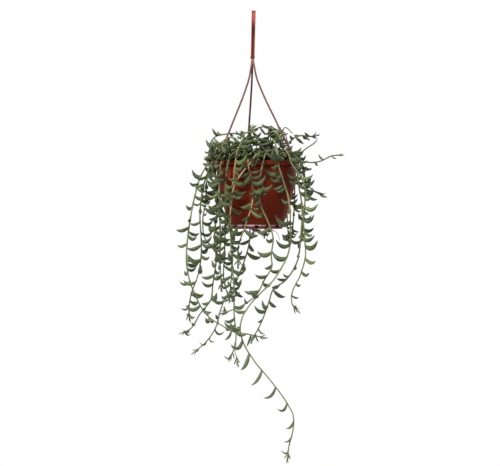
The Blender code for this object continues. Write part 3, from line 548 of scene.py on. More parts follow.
def soil_rings():
    """From the middle of the underside, out, up along the pot's wall, and over the top to the middle."""
    depths = np.linspace(POT_HEIGHT - FLOOR_THICKNESS - SOIL_GAP, SOIL_EDGE_DEPTH, SOIL_SIDE_ROWS)
    side = np.stack([np.interp(depths, *WALL_OUTLINE.T) - WALL_THICKNESS - SOIL_GAP, RIM_Z - depths], axis=1)
    edge = side[-1, 0]
    top = np.array([(edge * share, soil_height(edge * share))
                    for share in np.linspace(0.99, 0.004, SOIL_TOP_ROWS)])
    profile = np.vstack([[(AXIS_GAP, side[0, 1])], side, top])
    rings = turned(profile, np.arange(SOIL_COLUMNS) * math.tau / SOIL_COLUMNS, POT_X)
    from_edge = np.clip((edge - profile[:, 0]) / (4 * MM), 0, 1) * (np.arange(len(profile)) > len(side))
    rings[0, ..., 2] += lumps(rings[0, ..., 0], rings[0, ..., 1]) * from_edge[:, None]
    return rings


def crumb_rings():
    """Each crumb is four uneven rings of six points along its own direction. Where it is bark it is longer
    than wide, and flat. The other array gives each crumb's tone."""
    dice = np.random.default_rng(CRUMB_SEED)
    reach = (wall_radius(SOIL_EDGE_DEPTH) - 5 * MM) * np.sqrt(dice.random(CRUMB_COUNT))
    round_ = dice.random(CRUMB_COUNT) * math.tau
    middle = np.stack([POT_X + reach * np.cos(round_), reach * np.sin(round_)], axis=1)
    height = np.array([soil_height(r) for r in reach]) + lumps(*middle.T)
    size = dice.uniform(*CRUMB_SIZES, CRUMB_COUNT) * MM
    bark = dice.random(CRUMB_COUNT) < BARK_SHARE
    turn, tilt = dice.random(CRUMB_COUNT) * math.tau, dice.uniform(-0.35, 0.35, CRUMB_COUNT)
    along = np.stack([np.cos(turn) * np.cos(tilt), np.sin(turn) * np.cos(tilt), np.sin(tilt)], axis=1)
    across = np.stack([-np.sin(turn), np.cos(turn), np.zeros(CRUMB_COUNT)], axis=1)
    upward = np.cross(along, across)
    step = (CRUMB_STEPS * np.where(bark, BARK_LENGTH, 1)[:, None] * size[:, None])[..., None, None]
    corner = np.arange(CRUMB_SIDES) * math.tau / CRUMB_SIDES
    uneven = dice.uniform(0.7, 1.2, (CRUMB_COUNT, len(CRUMB_STEPS), CRUMB_SIDES))
    wide = size[:, None, None] * CRUMB_WIDTHS[:, None] * uneven
    flat = np.where(bark, BARK_FLATNESS, CRUMB_FLATNESS)[:, None, None]
    ring = (across[:, None, None] * (np.cos(corner) * wide)[..., None]
            + upward[:, None, None] * (np.sin(corner) * wide * flat)[..., None])
    place = np.column_stack([middle, height + size * 0.35])
    return place[:, None, None] + along[:, None, None] * step + ring, dice.random(CRUMB_COUNT)


def soil_finish():
    """Near-black brown, mottled, with each crumb its own shade from peat to dry bark."""
    material, tree, shader = finish_of("potting_mix", roughness=0.95, specular_ior_level=0.15)
    color = blend(tree, speckle(tree, 160, 0.3, 0.7), *PEAT)
    color = blend(tree, spread(tree, carried_share(tree, "tone"), 0.45, 1), color, DRY_BARK)
    dress(tree, shader, color, speckle(tree, 420, 0.2, 0.8, 5), 0.8, 0.6 * MM)
    return material


potting_mix = soil_finish()
soil = skin("soil_body", soil_rings(), tone=[0])
hold(soil, potting_mix, "potting_soil", "soil")
crumb_skin, crumb_tones = crumb_rings()
crumbs = skin("soil_crumbs", crumb_skin, tone=crumb_tones)
crease(crumbs, 30)
hold(crumbs, potting_mix, "potting_soil", "soil")

# The stems. Each of the 33 rises from the soil, goes over the rim and hangs, or arches into the mound over
# the pot. They are fleshy rods about 3 mm thick at the root, ringed at each leaf, and tan or dark with age.
HOLE_DEPTH = 10 * MM
GAP = 0.3 * MM
STEM_RADIUS = 1.6 * MM
STEM_TIP_RADIUS = 1.15 * MM
STEM_STEP = 18 * MM
STEM_START = 1.5 * MM
FINE_STEP = 2.5 * MM  # between the rings of a finished stem
STEM_COLUMNS = 8
JOINT_SWELL = 0.3  # of its radius, at each leaf
JOINT_REACH = 1.6 * MM
RING_REACH = 1.8 * MM
FAR = 1.0  # the distance taken where nothing is near
TAN_HEIGHTS = np.array([-430, -350, -280, -250]) * MM  # tan is full between the second and the third
STEM_GREENS = ((0.20, 0.24, 0.09), (0.19, 0.22, 0.08))  # at the tip and the root
STEM_PATCH = (0.30, 0.31, 0.14)
STEM_SHADE = (0.085, 0.10, 0.045)
STEM_TAN = (0.50, 0.32, 0.165)
STEM_RING = (0.085, 0.06, 0.045)
SHOOT_BROWNS = ((0.13, 0.115, 0.085), (0.17, 0.06, 0.032))  # at the tip and the root
SHOOT_PATCH = (0.20, 0.14, 0.10)
RIGHT, LEFT = 0, 180  # the side that a stem's leaves favour, in degrees from +X towards +Y

# Each stem: its leaf length, 0 for the bare one, the side that its leaves favour or None for all round, its
# root on the soil as (x, y), then its way over the rim and down as (x, y, z), all in millimetres.
STEMS = (
    # Left side, from the outermost in.
    (27, None, (-36, 0), ((-46, -7, -252), (-56, -10, -249), (-67, -12, -257), (-80, -15, -271),
     (-95, -17, -296), (-105, -18, -329), (-114, -15, -374), (-120, -10, -422), (-121, -5, -448),
     (-117, 1, -477), (-105, 9, -511), (-94, 12, -533), (-78, 14, -552), (-59, 15, -564),
     (-37, 15, -576), (-14, 15, -580), (21, 15, -587))),
    (29, None, (-34, -14), ((-46, -26, -250), (-62, -33, -256), (-75, -38, -272), (-83, -40, -292),
     (-91, -39, -320), (-96, -37, -367), (-94, -34, -407), (-94, -31, -438), (-100, -30, -474),
     (-112, -28, -508), (-116, -26, -535), (-114, -26, -554))),
    (29, RIGHT, (-34, 14), ((-46, 18, -252), (-62, 22, -256), (-76, 26, -270), (-84, 28, -297),
     (-87, 24, -340), (-92, 14, -380), (-88, 6, -407), (-71, 2, -428), (-58, -2, -443))),
    (29, None, (-26, -22), ((-43, -36, -252), (-58, -40, -256), (-66, -43, -272), (-68, -47, -306),
     (-66, -47, -356), (-70, -47, -409), (-67, -48, -443), (-73, -50, -490), (-76, -50, -515),
     (-95, -46, -541), (-116, -40, -571), (-128, -37, -576))),
    (29, None, (-16, -31), ((-34, -44, -250), (-48, -51, -256), (-57, -57, -271), (-60, -59, -297),
     (-60, -57, -370), (-60, -59, -446), (-57, -60, -499))),
    (29, None, (-7, -37), ((-22, -48, -251), (-36, -58, -256), (-45, -66, -271), (-49, -67, -295),
     (-50, -65, -353), (-52, -67, -439), (-53, -67, -481), (-43, -64, -516))),
    # Front of the pot, from the left.
    (31, None, (2, -14), ((-6, -26, -240), (-14, -40, -233), (-22, -53, -238), (-29, -66, -252),
     (-32, -76, -272), (-36, -74, -305), (-41, -69, -350), (-41, -71, -401), (-39, -75, -450),
     (-35, -78, -490), (-35, -78, -535), (-34, -75, -600), (-43, -74, -621))),
    (30, None, (10, -30), ((4, -46, -252), (-3, -62, -254), (-9, -75, -263), (-9, -83, -282), (-3, -81, -308),
     (-2, -81, -340), (-14, -79, -383), (-27, -73, -421), (-28, -66, -457))),
    (30, LEFT, (40, -22), ((37, -32, -254), (28, -48, -251), (14, -66, -253), (3, -79, -261),
     (-6, -88, -274), (-17, -90, -287), (-34, -88, -314), (-40, -82, -352), (-45, -79, -392))),
    (30, LEFT, (34, -43), ((31, -55, -255), (25, -65, -253), (20, -74, -260), (16, -82, -276),
     (10, -82, -306), (11, -80, -344), (26, -77, -380), (34, -76, -405), (31, -73, -439), (32, -71, -457),
     (20, -67, -479), (4, -62, -508), (-21, -58, -527), (-57, -55, -541))),
    (30, LEFT, (26, -20), ((29, -28, -238), (34, -41, -232), (39, -56, -241), (42, -68, -256),
     (43, -77, -275), (50, -75, -299), (61, -66, -333), (65, -60, -382), (61, -57, -435), (49, -58, -460),
     (32, -64, -485), (12, -79, -504), (-8, -90, -526), (-20, -92, -546), (-24, -90, -572),
     (-19, -86, -590), (0, -76, -623), (30, -64, -660), (60, -51, -702), (70, -47, -722), (71, -44, -740),
     (62, -40, -783), (60, -40, -803))),
    # Right side, from the front to the rear.
    (27, RIGHT, (46, -34), ((50, -45, -251), (56, -54, -250), (62, -62, -259), (67, -69, -274),
     (82, -68, -296), (92, -65, -319), (88, -65, -362), (91, -63, -416), (92, -62, -436), (84, -60, -469),
     (67, -60, -512), (69, -60, -526), (79, -60, -537))),
    (28, None, (48, -16), ((53, -25, -252), (61, -34, -252), (70, -40, -259), (76, -48, -276),
     (79, -49, -306), (86, -47, -351), (84, -43, -400), (75, -39, -455), (56, -36, -483), (34, -34, -500),
     (28, -34, -518), (9, -34, -567), (-3, -34, -588))),
    (0, None, (36, -8), ((48, -12, -262), (58, -15, -260), (69, -18, -258), (83, -20, -254), (96, -21, -245),
     (108, -22, -237), (113, -22, -232))),
    (22, RIGHT, (52, 2), ((62, 3, -256), (72, 3, -253), (82, 2, -260), (88, 0, -276), (92, -4, -340),
     (86, -8, -410))),
    (21, None, (44, 8), ((58, 12, -254), (70, 15, -253), (81, 18, -261), (88, 17, -280), (91, 14, -297),
     (99, 12, -313), (109, 10, -322), (128, 6, -332))),
    (34, None, (36, 16), ((44, 20, -256), (54, 22, -244), (64, 22, -235), (73, 22, -226), (83, 22, -222),
     (105, 22, -223), (115, 22, -221))),
    (20, None, (44, 26), ((58, 34, -258), (71, 38, -259), (84, 41, -266), (96, 42, -269), (122, 42, -267),
     (132, 42, -262), (141, 42, -258), (161, 42, -256))),
    # Rear, from the left.
    (30, None, (-28, 26), ((-44, 34, -252), (-54, 40, -256), (-62, 46, -271), (-65, 48, -300),
     (-64, 47, -350), (-60, 44, -400), (-62, 42, -450))),
    (30, None, (-16, 34), ((-26, 48, -252), (-34, 58, -256), (-42, 69, -272), (-43, 70, -300),
     (-42, 70, -360), (-38, 66, -420), (-44, 56, -520))),
    (30, None, (8, 30), ((4, 44, -250), (0, 58, -251), (-6, 74, -260), (-8, 84, -280), (-8, 82, -347),
     (-9, 75, -421), (-22, 64, -462), (-36, 53, -494), (-52, 48, -517), (-61, 46, -540), (-70, 44, -572),
     (-85, 42, -594), (-109, 40, -615))),
    (27, None, (8, 46), ((14, 58, -252), (18, 69, -256), (22, 80, -271), (24, 82, -300), (24, 80, -350),
     (20, 72, -404))),
    (28, None, (34, 36), ((42, 48, -252), (48, 56, -256), (55, 65, -271), (58, 68, -300), (60, 66, -350),
     (64, 60, -412))),
    (27, None, (46, 38), ((56, 43, -254), (63, 46, -257), (71, 51, -272), (74, 52, -300), (74, 50, -350),
     (70, 46, -400))),
    # Short shoots that arch up into the mound over the pot.
    (20, None, (-4, 14), ((-8, 8, -240), (-16, 4, -226), (-32, 3, -219), (-52, 2, -220), (-68, 1, -224),
     (-76, 0, -232), (-79, -1, -245), (-84, -2, -269))),
    (27, None, (-20, 20), ((-20, 26, -246), (-11, 26, -222), (1, 24, -211), (15, 22, -206), (28, 20, -206),
     (42, 18, -211), (52, 17, -220))),
    (31, None, (16, -8), ((14, -14, -244), (8, -22, -226), (-2, -30, -218), (-14, -36, -219),
     (-24, -42, -227))),
    (31, None, (22, 4), ((24, -6, -242), (28, -20, -223), (34, -34, -217), (42, -46, -221), (48, -56, -231))),
    (31, None, (-14, -8), ((-20, -12, -246), (-32, -20, -230), (-44, -31, -227), (-54, -38, -233),
     (-62, -46, -244))),
    (31, None, (-22, 6), ((-30, 8, -246), (-42, 12, -235), (-56, 18, -235), (-68, 24, -243))),
    (31, None, (22, 42), ((26, 48, -248), (33, 56, -233), (42, 64, -229), (52, 72, -235))),
    (31, None, (-14, 46), ((-20, 51, -248), (-30, 58, -237), (-42, 66, -238), (-52, 72, -248))),
    (24, None, (3, 0), ((5, 4, -240), (1, 11, -216), (-6, 16, -205))),
)


def root_height(root):
    """The soil's level at a root."""
    return soil_height(math.hypot(root[0] - POT_X, root[1]))


def stem_curve(root, way, step):
    """The middle of a stem: up out of its hole, then the smooth curve through its points, each step long."""
    base = root_height(root)
    points = np.array([(root[0], root[1], base + STEM_START), *way])
    knots = distances_along(points)
    slopes = np.gradient(points, knots, axis=0)
    slopes[0] = (0, 0, 1)
    curve = hermite(points, knots, slopes, np.linspace(0, knots[-1], round(knots[-1] / step) + 1))
    return np.vstack([[(root[0], root[1], base - HOLE_DEPTH + GAP)], curve])


def stem_radii(line):
    """Evenly thinner from root to tip."""
    return np.linspace(STEM_RADIUS, STEM_TIP_RADIUS, len(line))


def stem_skin(name, line, radii, joints=(), tan=0, shade=0):
    """The stem's tube, with its age down its length. Its radius is times 1 + 0.3 exp(-(d/1.6)^2), where d is
    the distance in millimetres to the nearest joint. One more point is put in near the root, and a small last
    ring closes the tip."""
    line = np.vstack([line[:1], (line[:1] + line[1:2]) / 2, line[1:]])
    radii = np.interp(np.linspace(0, 1, len(line)), np.linspace(0, 1, len(radii)), radii)
    apart = np.full(len(line), FAR)
    if joints:
        apart = np.linalg.norm(line[:, None] - np.array(joints), axis=2).min(axis=1)
    radii = radii * (1 + JOINT_SWELL * np.exp(-(apart / JOINT_REACH) ** 2))
    onward = (line[-1] - line[-2]) / np.linalg.norm(line[-1] - line[-2])
    line = np.vstack([line, line[-1] + onward * radii[-1]])
    radii = np.append(radii, radii[-1] * 0.3)
    ringed = np.append(np.exp(-(apart / RING_REACH) ** 2), 0)
    age = np.linspace(1, 0, len(line))
    tanned = tan * np.interp(line[:, 2], TAN_HEIGHTS, (0, 1, 1, 0))
    return skin(name, carried(line, radii, STEM_COLUMNS)[None], age=age[None], joint=ringed[None],
                tan=tanned[None], shade=[shade])


def uv_place(tree):
    """The place on the piece's own UV map: round it, and along it."""
    return plug(tree, "UVMap", uv_map="UVMap").outputs[0]


def stem_finish():
    """Yellow-green with paler patches, olive on the darker stems, partly as painted shade, tan where it lay
    in the sun, with fine lengthwise ridges and a darker ring at each leaf."""
    material, tree, shader = finish_of("stem_skin", roughness=0.55, specular_ior_level=0.3,
                                       subsurface_weight=0.1, subsurface_scale=1.5 * MM,
                                       subsurface_radius=(0.6, 0.8, 0.3))
    color = blend(tree, carried_share(tree, "age"), *STEM_GREENS)
    color = blend(tree, speckle(tree, 45, 0.4, 0.68), color, STEM_PATCH)
    color = blend(tree, carried_share(tree, "shade"), color, STEM_SHADE)
    color = blend(tree, times(tree, carried_share(tree, "tan"), speckle(tree, 70, 0.2, 0.6)), color, STEM_TAN)
    color = blend(tree, times(tree, carried_share(tree, "joint"), 0.25), color, STEM_RING)
    dress(tree, shader, color, noise(tree, uv_place(tree), 1, 3, (9, 60, 1)), 0.35, 0.25 * MM)
    return material


def shoot_finish():
    """Dry skin, reddish brown near the root and greyer towards the tip, wrinkled lengthwise."""
    material, tree, shader = finish_of("dry_shoot", roughness=0.8, specular_ior_level=0.2)
    color = blend(tree, carried_share(tree, "age"), *SHOOT_BROWNS)
    color = blend(tree, speckle(tree, 90, 0.35, 0.7, 4), color, SHOOT_PATCH)
    dress(tree, shader, color, noise(tree, uv_place(tree), 1, 4, (12, 50, 1)), 0.8, 0.4 * MM)
    return material


# The leaves, set along the stems by one rule. Each is a fat little banana that stands out sideways from its
# stem and curves up to a pointed tip, with a darker clear line along its upper side and a waxy bloom.
LEAF_SPACING = 21.5 * MM
LEAF_RADIUS = 0.122  # of its length, at its fattest
LEAF_CLEARANCE = 0.5 * MM
LEAF_SINK = 0.5 * MM
FIRST_LEAF = 16 * MM  # bare stem above the soil
YOUNG_LENGTH = 80 * MM  # towards a stem's tip the leaves get smaller over this length
YOUNGEST = 0.55  # the share of its full length that a leaf has at the tip
CLOSEST = 0.6  # and of the full spacing
# Where a leaf bends and ends, out from its stem and up, as shares of its length.
BEND_OUT = 0.48
BEND_UP = -0.04
BEND_DROP = 0.42  # on a stem that hangs straight down
TIP_OUT = 0.84
TIP_RISE = 0.08
SIDEWAYS = 0.33  # how strongly the leaves turn towards the left and the right, from 0 to 0.5
STANDING = (0.1, -0.8)  # leaves along a level stem stand up and hang down by turns
STRAIGHTENED = 0.6  # how much of a leaf's lean along its stem is taken out
LOW_Z = -566 * MM  # below this the leaves of the longest stems are sparse and slender, and hang
SPARSE = 1.3
SLENDER = 0.65
LOW_BEND = (-0.28, -0.3)  # what is added to a low leaf's bend, out and up
LOW_TIP = (-0.04, -0.36)  # and to its tip
SLANT_SPARSE = 2.2  # and where a stem hangs slantwise below the rim its leaves stand further apart
LIFT_RANGE = (-0.32, 0.34)  # how far a tip rises by itself, as a share of the leaf's length
SIZE_RANGE = (0.78, 1.18)
SPACING_RANGE = (0.85, 1.15)
TURN_RANGE = (-0.7, 0.7)
LOOSE = 1.6  # leaves that favour one side turn further from it
TURN_STEP = math.radians(40)
TURNS_TRIED = 9
GOLDEN_ANGLE = math.radians(137.5)
LEAF_SEEDS = 4000  # plus the stem's index
PARALLEL = 1e-18
FIXED = -1  # the owner of the legs and dry shoots, where stem k and its leaves are owners 2k and 2k + 1
NEARBY = 75 * MM  # bars that start further than this from a leaf's start can't touch it
BAR_MARKS = (0, 0.3, 0.68, 1)  # the shares of a leaf between which the rule takes it as straight
LEAF_ROWS = 13
LEAF_COLUMNS = 10
BUD_LEAVES = 7
BUD_SLENDER = 0.75
# The mound's inner leaves are darkened with painted shade.
MOUND_RADIUS = 79 * MM  # the mound over the pot is half a flattened ball, and its inner leaves are dark
MOUND_HEIGHT = 60 * MM
MOUND_SHADE = 20 * MM
PALE_HEIGHTS = np.array([-600, -420]) * MM  # leaves get paler from the upper one down to the lower one
SMALL_LENGTH = 20 * MM  # shorter leaves are young and fresher green
LEAF_GREENS = ((0.053, 0.078, 0.036), (0.115, 0.148, 0.042))  # of the darkest leaf and the brightest
LEAF_FRESH = (0.15, 0.20, 0.055)
LEAF_SMALL = (0.12, 0.16, 0.05)
LEAF_STRIPE = (0.035, 0.06, 0.028)
LEAF_BLOOM = (0.155, 0.19, 0.105)
LEAF_WINDOW = (0.028, 0.07, 0.035)  # the clear line
LEAF_TIP = (0.10, 0.045, 0.06)
LEAF_PALE = (0.17, 0.20, 0.105)
LEAF_DEEP_SHADE = (0.018, 0.029, 0.004)


def gaps(start, end, starts, ends):
    """The distance from one straight piece to each of many others: between the point at share s of the one
    and the point at share t of the other that lie closest, with both shares kept from 0 to 1."""
    d1, d2, r = end - start, ends - starts, start - starts
    a, e = d1 @ d1, (d2 * d2).sum(1)
    b, c, f = d2 @ d1, r @ d1, (d2 * r).sum(1)
    cross = a * e - b * b
    s = np.where(cross > PARALLEL, np.clip((b * f - c * e) / np.maximum(cross, PARALLEL), 0, 1), 0)
    t = (b * s + f) / e
    s = np.where(t < 0, np.clip(-c / a, 0, 1), np.where(t > 1, np.clip((b - c) / a, 0, 1), s))
    t = np.clip(t, 0, 1)
    apart = start + s[:, None] * d1 - starts - t[:, None] * d2
    return np.linalg.norm(apart, axis=1)


def clear_of_pot(points, radius):
    """True if balls of this radius at the points touch neither the pot nor the soil."""
    room = radius + LEAF_CLEARANCE
    for x, y, z in points:
        out = math.hypot(x - POT_X, y)
        depth = RIM_Z - z
        if depth < -room or depth > POT_HEIGHT + room:
            continue
        widest = max(wall_radius(depth - room), wall_radius(depth + room))
        if depth < LIP_DEPTH + room:
            widest = RIM_RADIUS
        outside = out > widest + room
        inside = out < wall_radius(0) - WALL_THICKNESS - room and z > soil_height(out) + room
        if not (outside or inside):
            return False
    return True


class Crowd:
    """Everything that a new leaf must stay clear of, as straight round bars: start, end, radius, owner."""

    def __init__(self):
        self.bars = np.empty((0, 8))

    def add(self, line, radii, owner):
        """Puts in a bar for each piece of a line, as thick as that piece is at its thicker end."""
        fat = np.maximum(radii[:-1], radii[1:])
        bars = np.column_stack([line[:-1], line[1:], fat, np.full(len(fat), owner)])
        self.bars = np.vstack([self.bars, bars])

    def room(self, line, radius, own):
        """The least gap from a line of this radius to what others have here."""
        near = np.abs(self.bars[:, :3] - line[0]).max(axis=1) < NEARBY
        others = self.bars[near & ~np.isin(self.bars[:, 7], own)]
        if not len(others):
            return FAR
        return min(float((gaps(p, q, others[:, :3], others[:, 3:6]) - others[:, 6]).min()) - radius
                   for p, q in zip(line, line[1:]))


def leaf_points(joint, along, turn, length, lift, slot):
    """Where a leaf starts, bends and ends: out from the stem sideways, then up. Where the side that it turns
    to lies along the stem, it stands up or hangs down instead."""
    up = np.array([0, 0, 1.0])
    side = np.array([math.cos(turn), math.sin(turn), 0])
    side += up * abs(side @ along) ** 3 * STANDING[slot % 2]
    side -= along * (side @ along) * STRAIGHTENED
    side /= np.linalg.norm(side)
    hanging = max(0, -along[2])
    low = joint[2] < LOW_Z
    bend = joint + length * ((BEND_OUT + LOW_BEND[0] * low) * side
                             + (BEND_UP - BEND_DROP * hanging + LOW_BEND[1] * low) * up)
    tip = joint + length * ((TIP_OUT + LOW_TIP[0] * low) * side
                            + (lift + TIP_RISE * (1 - hanging) + LOW_TIP[1] * low) * up)
    return np.array([joint - side * LEAF_SINK, bend, tip])


def middle_line(points, shares):
    """The curve (1-s)^2 start + 2s(1-s) bend + s^2 tip at each share s."""
    shares = np.array(shares)[:, None]
    return (1 - shares) ** 2 * points[0] + 2 * shares * (1 - shares) * points[1] + shares**2 * points[2]


def all_round(joint, slot):
    """Directions that go round by the golden angle, drawn a little towards the left and the right."""
    return slot * GOLDEN_ANGLE - SIDEWAYS * math.sin(2 * slot * GOLDEN_ANGLE)


def along_rim(joint, slot):
    """By turns to either side along the pot's rim, so that leaves lie on the mound and not out from it."""
    return math.atan2(joint[1], joint[0] - POT_X) + math.pi * (slot % 2 - 0.5)


def leaves_of(stem, line, fine, leaf_length, favoured, crowd, seed, start, spacing, own, squeeze=1.0,
              shrink=1.0, lifts=LIFT_RANGE, facing=all_round):
    """The points of one stem's leaves. Each goes to the first side, in a seeded order, that has room. It is
    then moved from the straight piece that the rule measures on to the finished stem. Squeezed leaves need
    less room, shrink says how much of the usual shrinking towards the tip they take, and lifts is the range
    of their tips' own rise."""
    dice = random.Random(seed)
    knots = distances_along(line)
    placed = []
    place = start
    slot = 0
    while place < knots[-1]:
        k = min(int(np.searchsorted(knots, place)) - 1, len(line) - 2)
        share = (place - knots[k]) / (knots[k + 1] - knots[k])
        joint = line[k] + share * (line[k + 1] - line[k])
        along = (line[k + 1] - line[k]) / (knots[k + 1] - knots[k])
        young = min(1, YOUNGEST + (1 - YOUNGEST) * (knots[-1] - place) / YOUNG_LENGTH)
        young = 1 - shrink * (1 - young)
        length = leaf_length * young * dice.uniform(*SIZE_RANGE)
        lift = dice.uniform(*lifts)
        jitter = dice.uniform(*TURN_RANGE)
        if favoured is None:
            first = facing(joint, slot)
        else:
            first, jitter = math.radians(favoured), jitter * LOOSE
        for step in range(TURNS_TRIED):
            turn = first + jitter + TURN_STEP * ((step + 1) // 2) * (-1) ** step
            leaf = leaf_points(joint, along, turn, length, lift, slot)
            bars = middle_line(leaf, BAR_MARKS)
            fat = LEAF_RADIUS * length * (SLENDER if joint[2] < LOW_Z else 1)
            samples = np.concatenate([bars[1:], (bars[1:] + bars[:-1]) / 2])
            clearance = LEAF_CLEARANCE - fat * (1 - squeeze)
            if clear_of_pot(samples, fat) and crowd.room(bars, fat, own) > clearance:
                position = (k - 1 + share) / (len(line) - 2) * (len(fine) - 2) + 1
                low = int(np.clip(position, 0, len(fine) - 2))
                finer = fine[low] + (position - low) * (fine[low + 1] - fine[low])
                placed.append(leaf + (finer - joint) * (k > 0))
                crowd.add(bars, np.full(len(bars), fat), 2 * stem + 1)
                break
        slot += 1
        place += spacing * dice.uniform(*SPACING_RANGE) * max(young, CLOSEST)
        if joint[2] < RIM_Z:
            place += spacing * SLANT_SPARSE * (1 - abs(along[2]))
        if joint[2] < LOW_Z:
            place += spacing * (SPARSE - 1)
    return placed


def fine_part(fine, reach, total):
    """The stretch of the fine line that goes with the first points of the rule's line."""
    return fine[:round((reach - 2) / (total - 2) * (len(fine) - 2)) + 2]


def bud_leaves(line, size, seed):
    """The cluster that ends a stem: tiny leaves round its tip, each closer to its direction than the last."""
    dice = random.Random(seed)
    along = (line[-1] - line[-4]) / np.linalg.norm(line[-1] - line[-4])
    side = np.cross(along, (0.3, 0.2, 1))
    side /= np.linalg.norm(side)
    other = np.cross(along, side)
    cluster = []
    for k in range(BUD_LEAVES):
        turn = k * GOLDEN_ANGLE + dice.uniform(-0.3, 0.3)
        out = side * math.cos(turn) + other * math.sin(turn)
        length = size * (1 - 0.09 * k) * dice.uniform(0.8, 1.15)
        joint = line[-1] - along * size * (0.9 - 0.15 * k)
        lean = 0.95 - 0.12 * k
        cluster.append(np.array([joint, joint + length * (0.4 * lean * out + 0.45 * along),
                                 joint + length * (lean * 0.62 * out + (1 - 0.3 * lean) * along)]))
    return cluster


def leaf_skin(name, leaves, seed, slender=1.0):
    """Point (s, a) of a leaf: its middle line at s, plus r(s) (cos a across + sin a inward), where inward is
    towards the side that it curves to. The radius r is R sin(pi s^0.86)^0.8 with a short neck added, and
    R is about 0.122 of the leaf's length. The clear line, at the seam of the UV map, is sunk a little."""
    dice = np.random.default_rng(seed)
    start, bend, tip = np.array(leaves).transpose(1, 0, 2)[:, :, None]
    s = (1 - np.cos(np.linspace(0, math.pi, LEAF_ROWS)))[None, :, None] / 2
    middle = (1 - s) ** 2 * start + 2 * s * (1 - s) * bend + s**2 * tip
    along = (1 - s) * (bend - start) + s * (tip - bend)
    along /= np.linalg.norm(along, axis=2, keepdims=True)
    across = np.cross(tip - start, bend - start)
    across += np.array([0, 0, 1e-9])  # a straight leaf has no side of its own
    across /= np.linalg.norm(across, axis=2, keepdims=True)
    inward = np.cross(along, across)
    length = np.linalg.norm(np.diff(middle, axis=1), axis=2).sum(axis=1)[:, None, None]
    plump = dice.uniform(0.9, 1.08, (len(leaves), 1, 1)) * np.where(start[:, :, 2:] < LOW_Z, SLENDER, slender)
    swell = LEAF_RADIUS * plump * length * np.sin(np.pi * s**0.86) ** 0.8
    radius = swell + 0.022 * length * (1 - s) ** 2 + 0.06 * MM
    turn = math.pi / 2 + np.arange(LEAF_COLUMNS) * math.tau / LEAF_COLUMNS
    sunk = 1 - 0.07 * np.exp(-((np.angle(np.exp(1j * (turn - math.pi / 2)))) / 0.5) ** 2)
    round_ = (across[:, :, None] * (0.96 * np.cos(turn) * sunk)[:, None]
              + inward[:, :, None] * (np.sin(turn) * sunk)[:, None])
    rings = middle[:, :, None] + round_ * radius[..., None]
    # Painted shade: the deeper a leaf lies inside the mound, the darker it is painted.
    x, y, z = middle[:, LEAF_ROWS // 2].T
    out = np.minimum(np.hypot(x - POT_X, y) / MOUND_RADIUS, 1)
    depth = RIM_Z + MOUND_HEIGHT * np.sqrt(1 - out**2) - z
    deep = np.clip(depth / MOUND_SHADE - 0.6, 0, 1) * (z > RIM_Z - 12 * MM) * (out < 1)
    small = np.clip(1 - length[:, 0, 0] / SMALL_LENGTH, 0, 1)
    pale = np.interp(z, PALE_HEIGHTS, (1, 0))
    return skin(name, rings, tone=dice.random(len(leaves)), small=small, deep=deep, pale=pale)


def leaf_finish():
    """Blue-green flesh under a waxy bloom, from grey-green to yellow-green by the leaf, with faint lengthwise
    stripes, a dark clear line along the upper side, and a purple tip. Small leaves and low ones are paler,
    and those deep in the mound are painted nearly black as shade."""
    material, tree, shader = finish_of("leaf_flesh", specular_ior_level=0.28, subsurface_weight=0.12,
                                       subsurface_scale=2 * MM, subsurface_radius=(0.45, 1.0, 0.3))
    tone = carried_share(tree, "tone")
    place = plug(tree, "SeparateXYZ", {0: uv_place(tree)})
    around, down = place.outputs[0], place.outputs[1]
    color = blend(tree, tone, *LEAF_GREENS)
    color = blend(tree, spread(tree, tone, 0.9, 0.94), color, LEAF_FRESH)
    color = blend(tree, carried_share(tree, "small"), color, LEAF_SMALL)
    own_place = plug(tree, "CombineXYZ", {0: around, 1: down, 2: times(tree, tone, 37)})
    stripes = noise(tree, own_place.outputs[0], 1, 2, (14, 1.2, 1))
    color = blend(tree, spread(tree, stripes, 0.45, 0.7, 0, 0.35), color, LEAF_STRIPE)
    bloom = speckle(tree, 160, 0.4, 0.75, 4)
    color = blend(tree, times(tree, bloom, 0.4), color, LEAF_BLOOM)
    window = spread(tree, away_from(tree, around, 0.5), 0.435, 0.465, interpolation_type="SMOOTHSTEP")
    window = times(tree, window, spread(tree, down, 0.9, 0.75, 0, 0.75))
    color = blend(tree, window, color, LEAF_WINDOW)
    color = blend(tree, spread(tree, down, spread(tree, tone, 0, 1, 0.6, 0.86), 1.02), color, LEAF_TIP)
    color = blend(tree, times(tree, carried_share(tree, "pale"), 0.5), color, LEAF_PALE)
    # Painted shade deep in the mound.
    color = blend(tree, times(tree, carried_share(tree, "deep"), 0.85), color, LEAF_DEEP_SHADE)
    tree.links.new(spread(tree, bloom, 0, 1, 0.38, 0.58), shader.inputs["Roughness"])
    dress(tree, shader, color, stripes, 0.12, 0.3 * MM)
    return material


stem_skin_finish = stem_finish()
dry_shoot = shoot_finish()
leaf_flesh = leaf_finish()
crowd = Crowd()
lines, fines = [], []
for index, (_, _, root, way) in enumerate(STEMS):
    root, way = np.array(root) * MM, np.array(way) * MM
    lines.append(stem_curve(root, way, STEM_STEP))
    fines.append(stem_curve(root, way, FINE_STEP))
    crowd.add(lines[-1], stem_radii(lines[-1]), 2 * index)
for x, y in leg_holes:
    leg = leg_points(x, y)
    crowd.add(leg, np.full(len(leg), LEG_RADIUS), FIXED)
leaves = [[] for _ in STEMS]
for index, (leaf_length, favoured, _, _) in enumerate(STEMS):
    if leaf_length:
        leaves[index] = leaves_of(index, lines[index], fines[index], leaf_length * MM, favoured, crowd,
                                  LEAF_SEEDS + index, HOLE_DEPTH + FIRST_LEAF, LEAF_SPACING,
                                  (2 * index, 2 * index + 1))

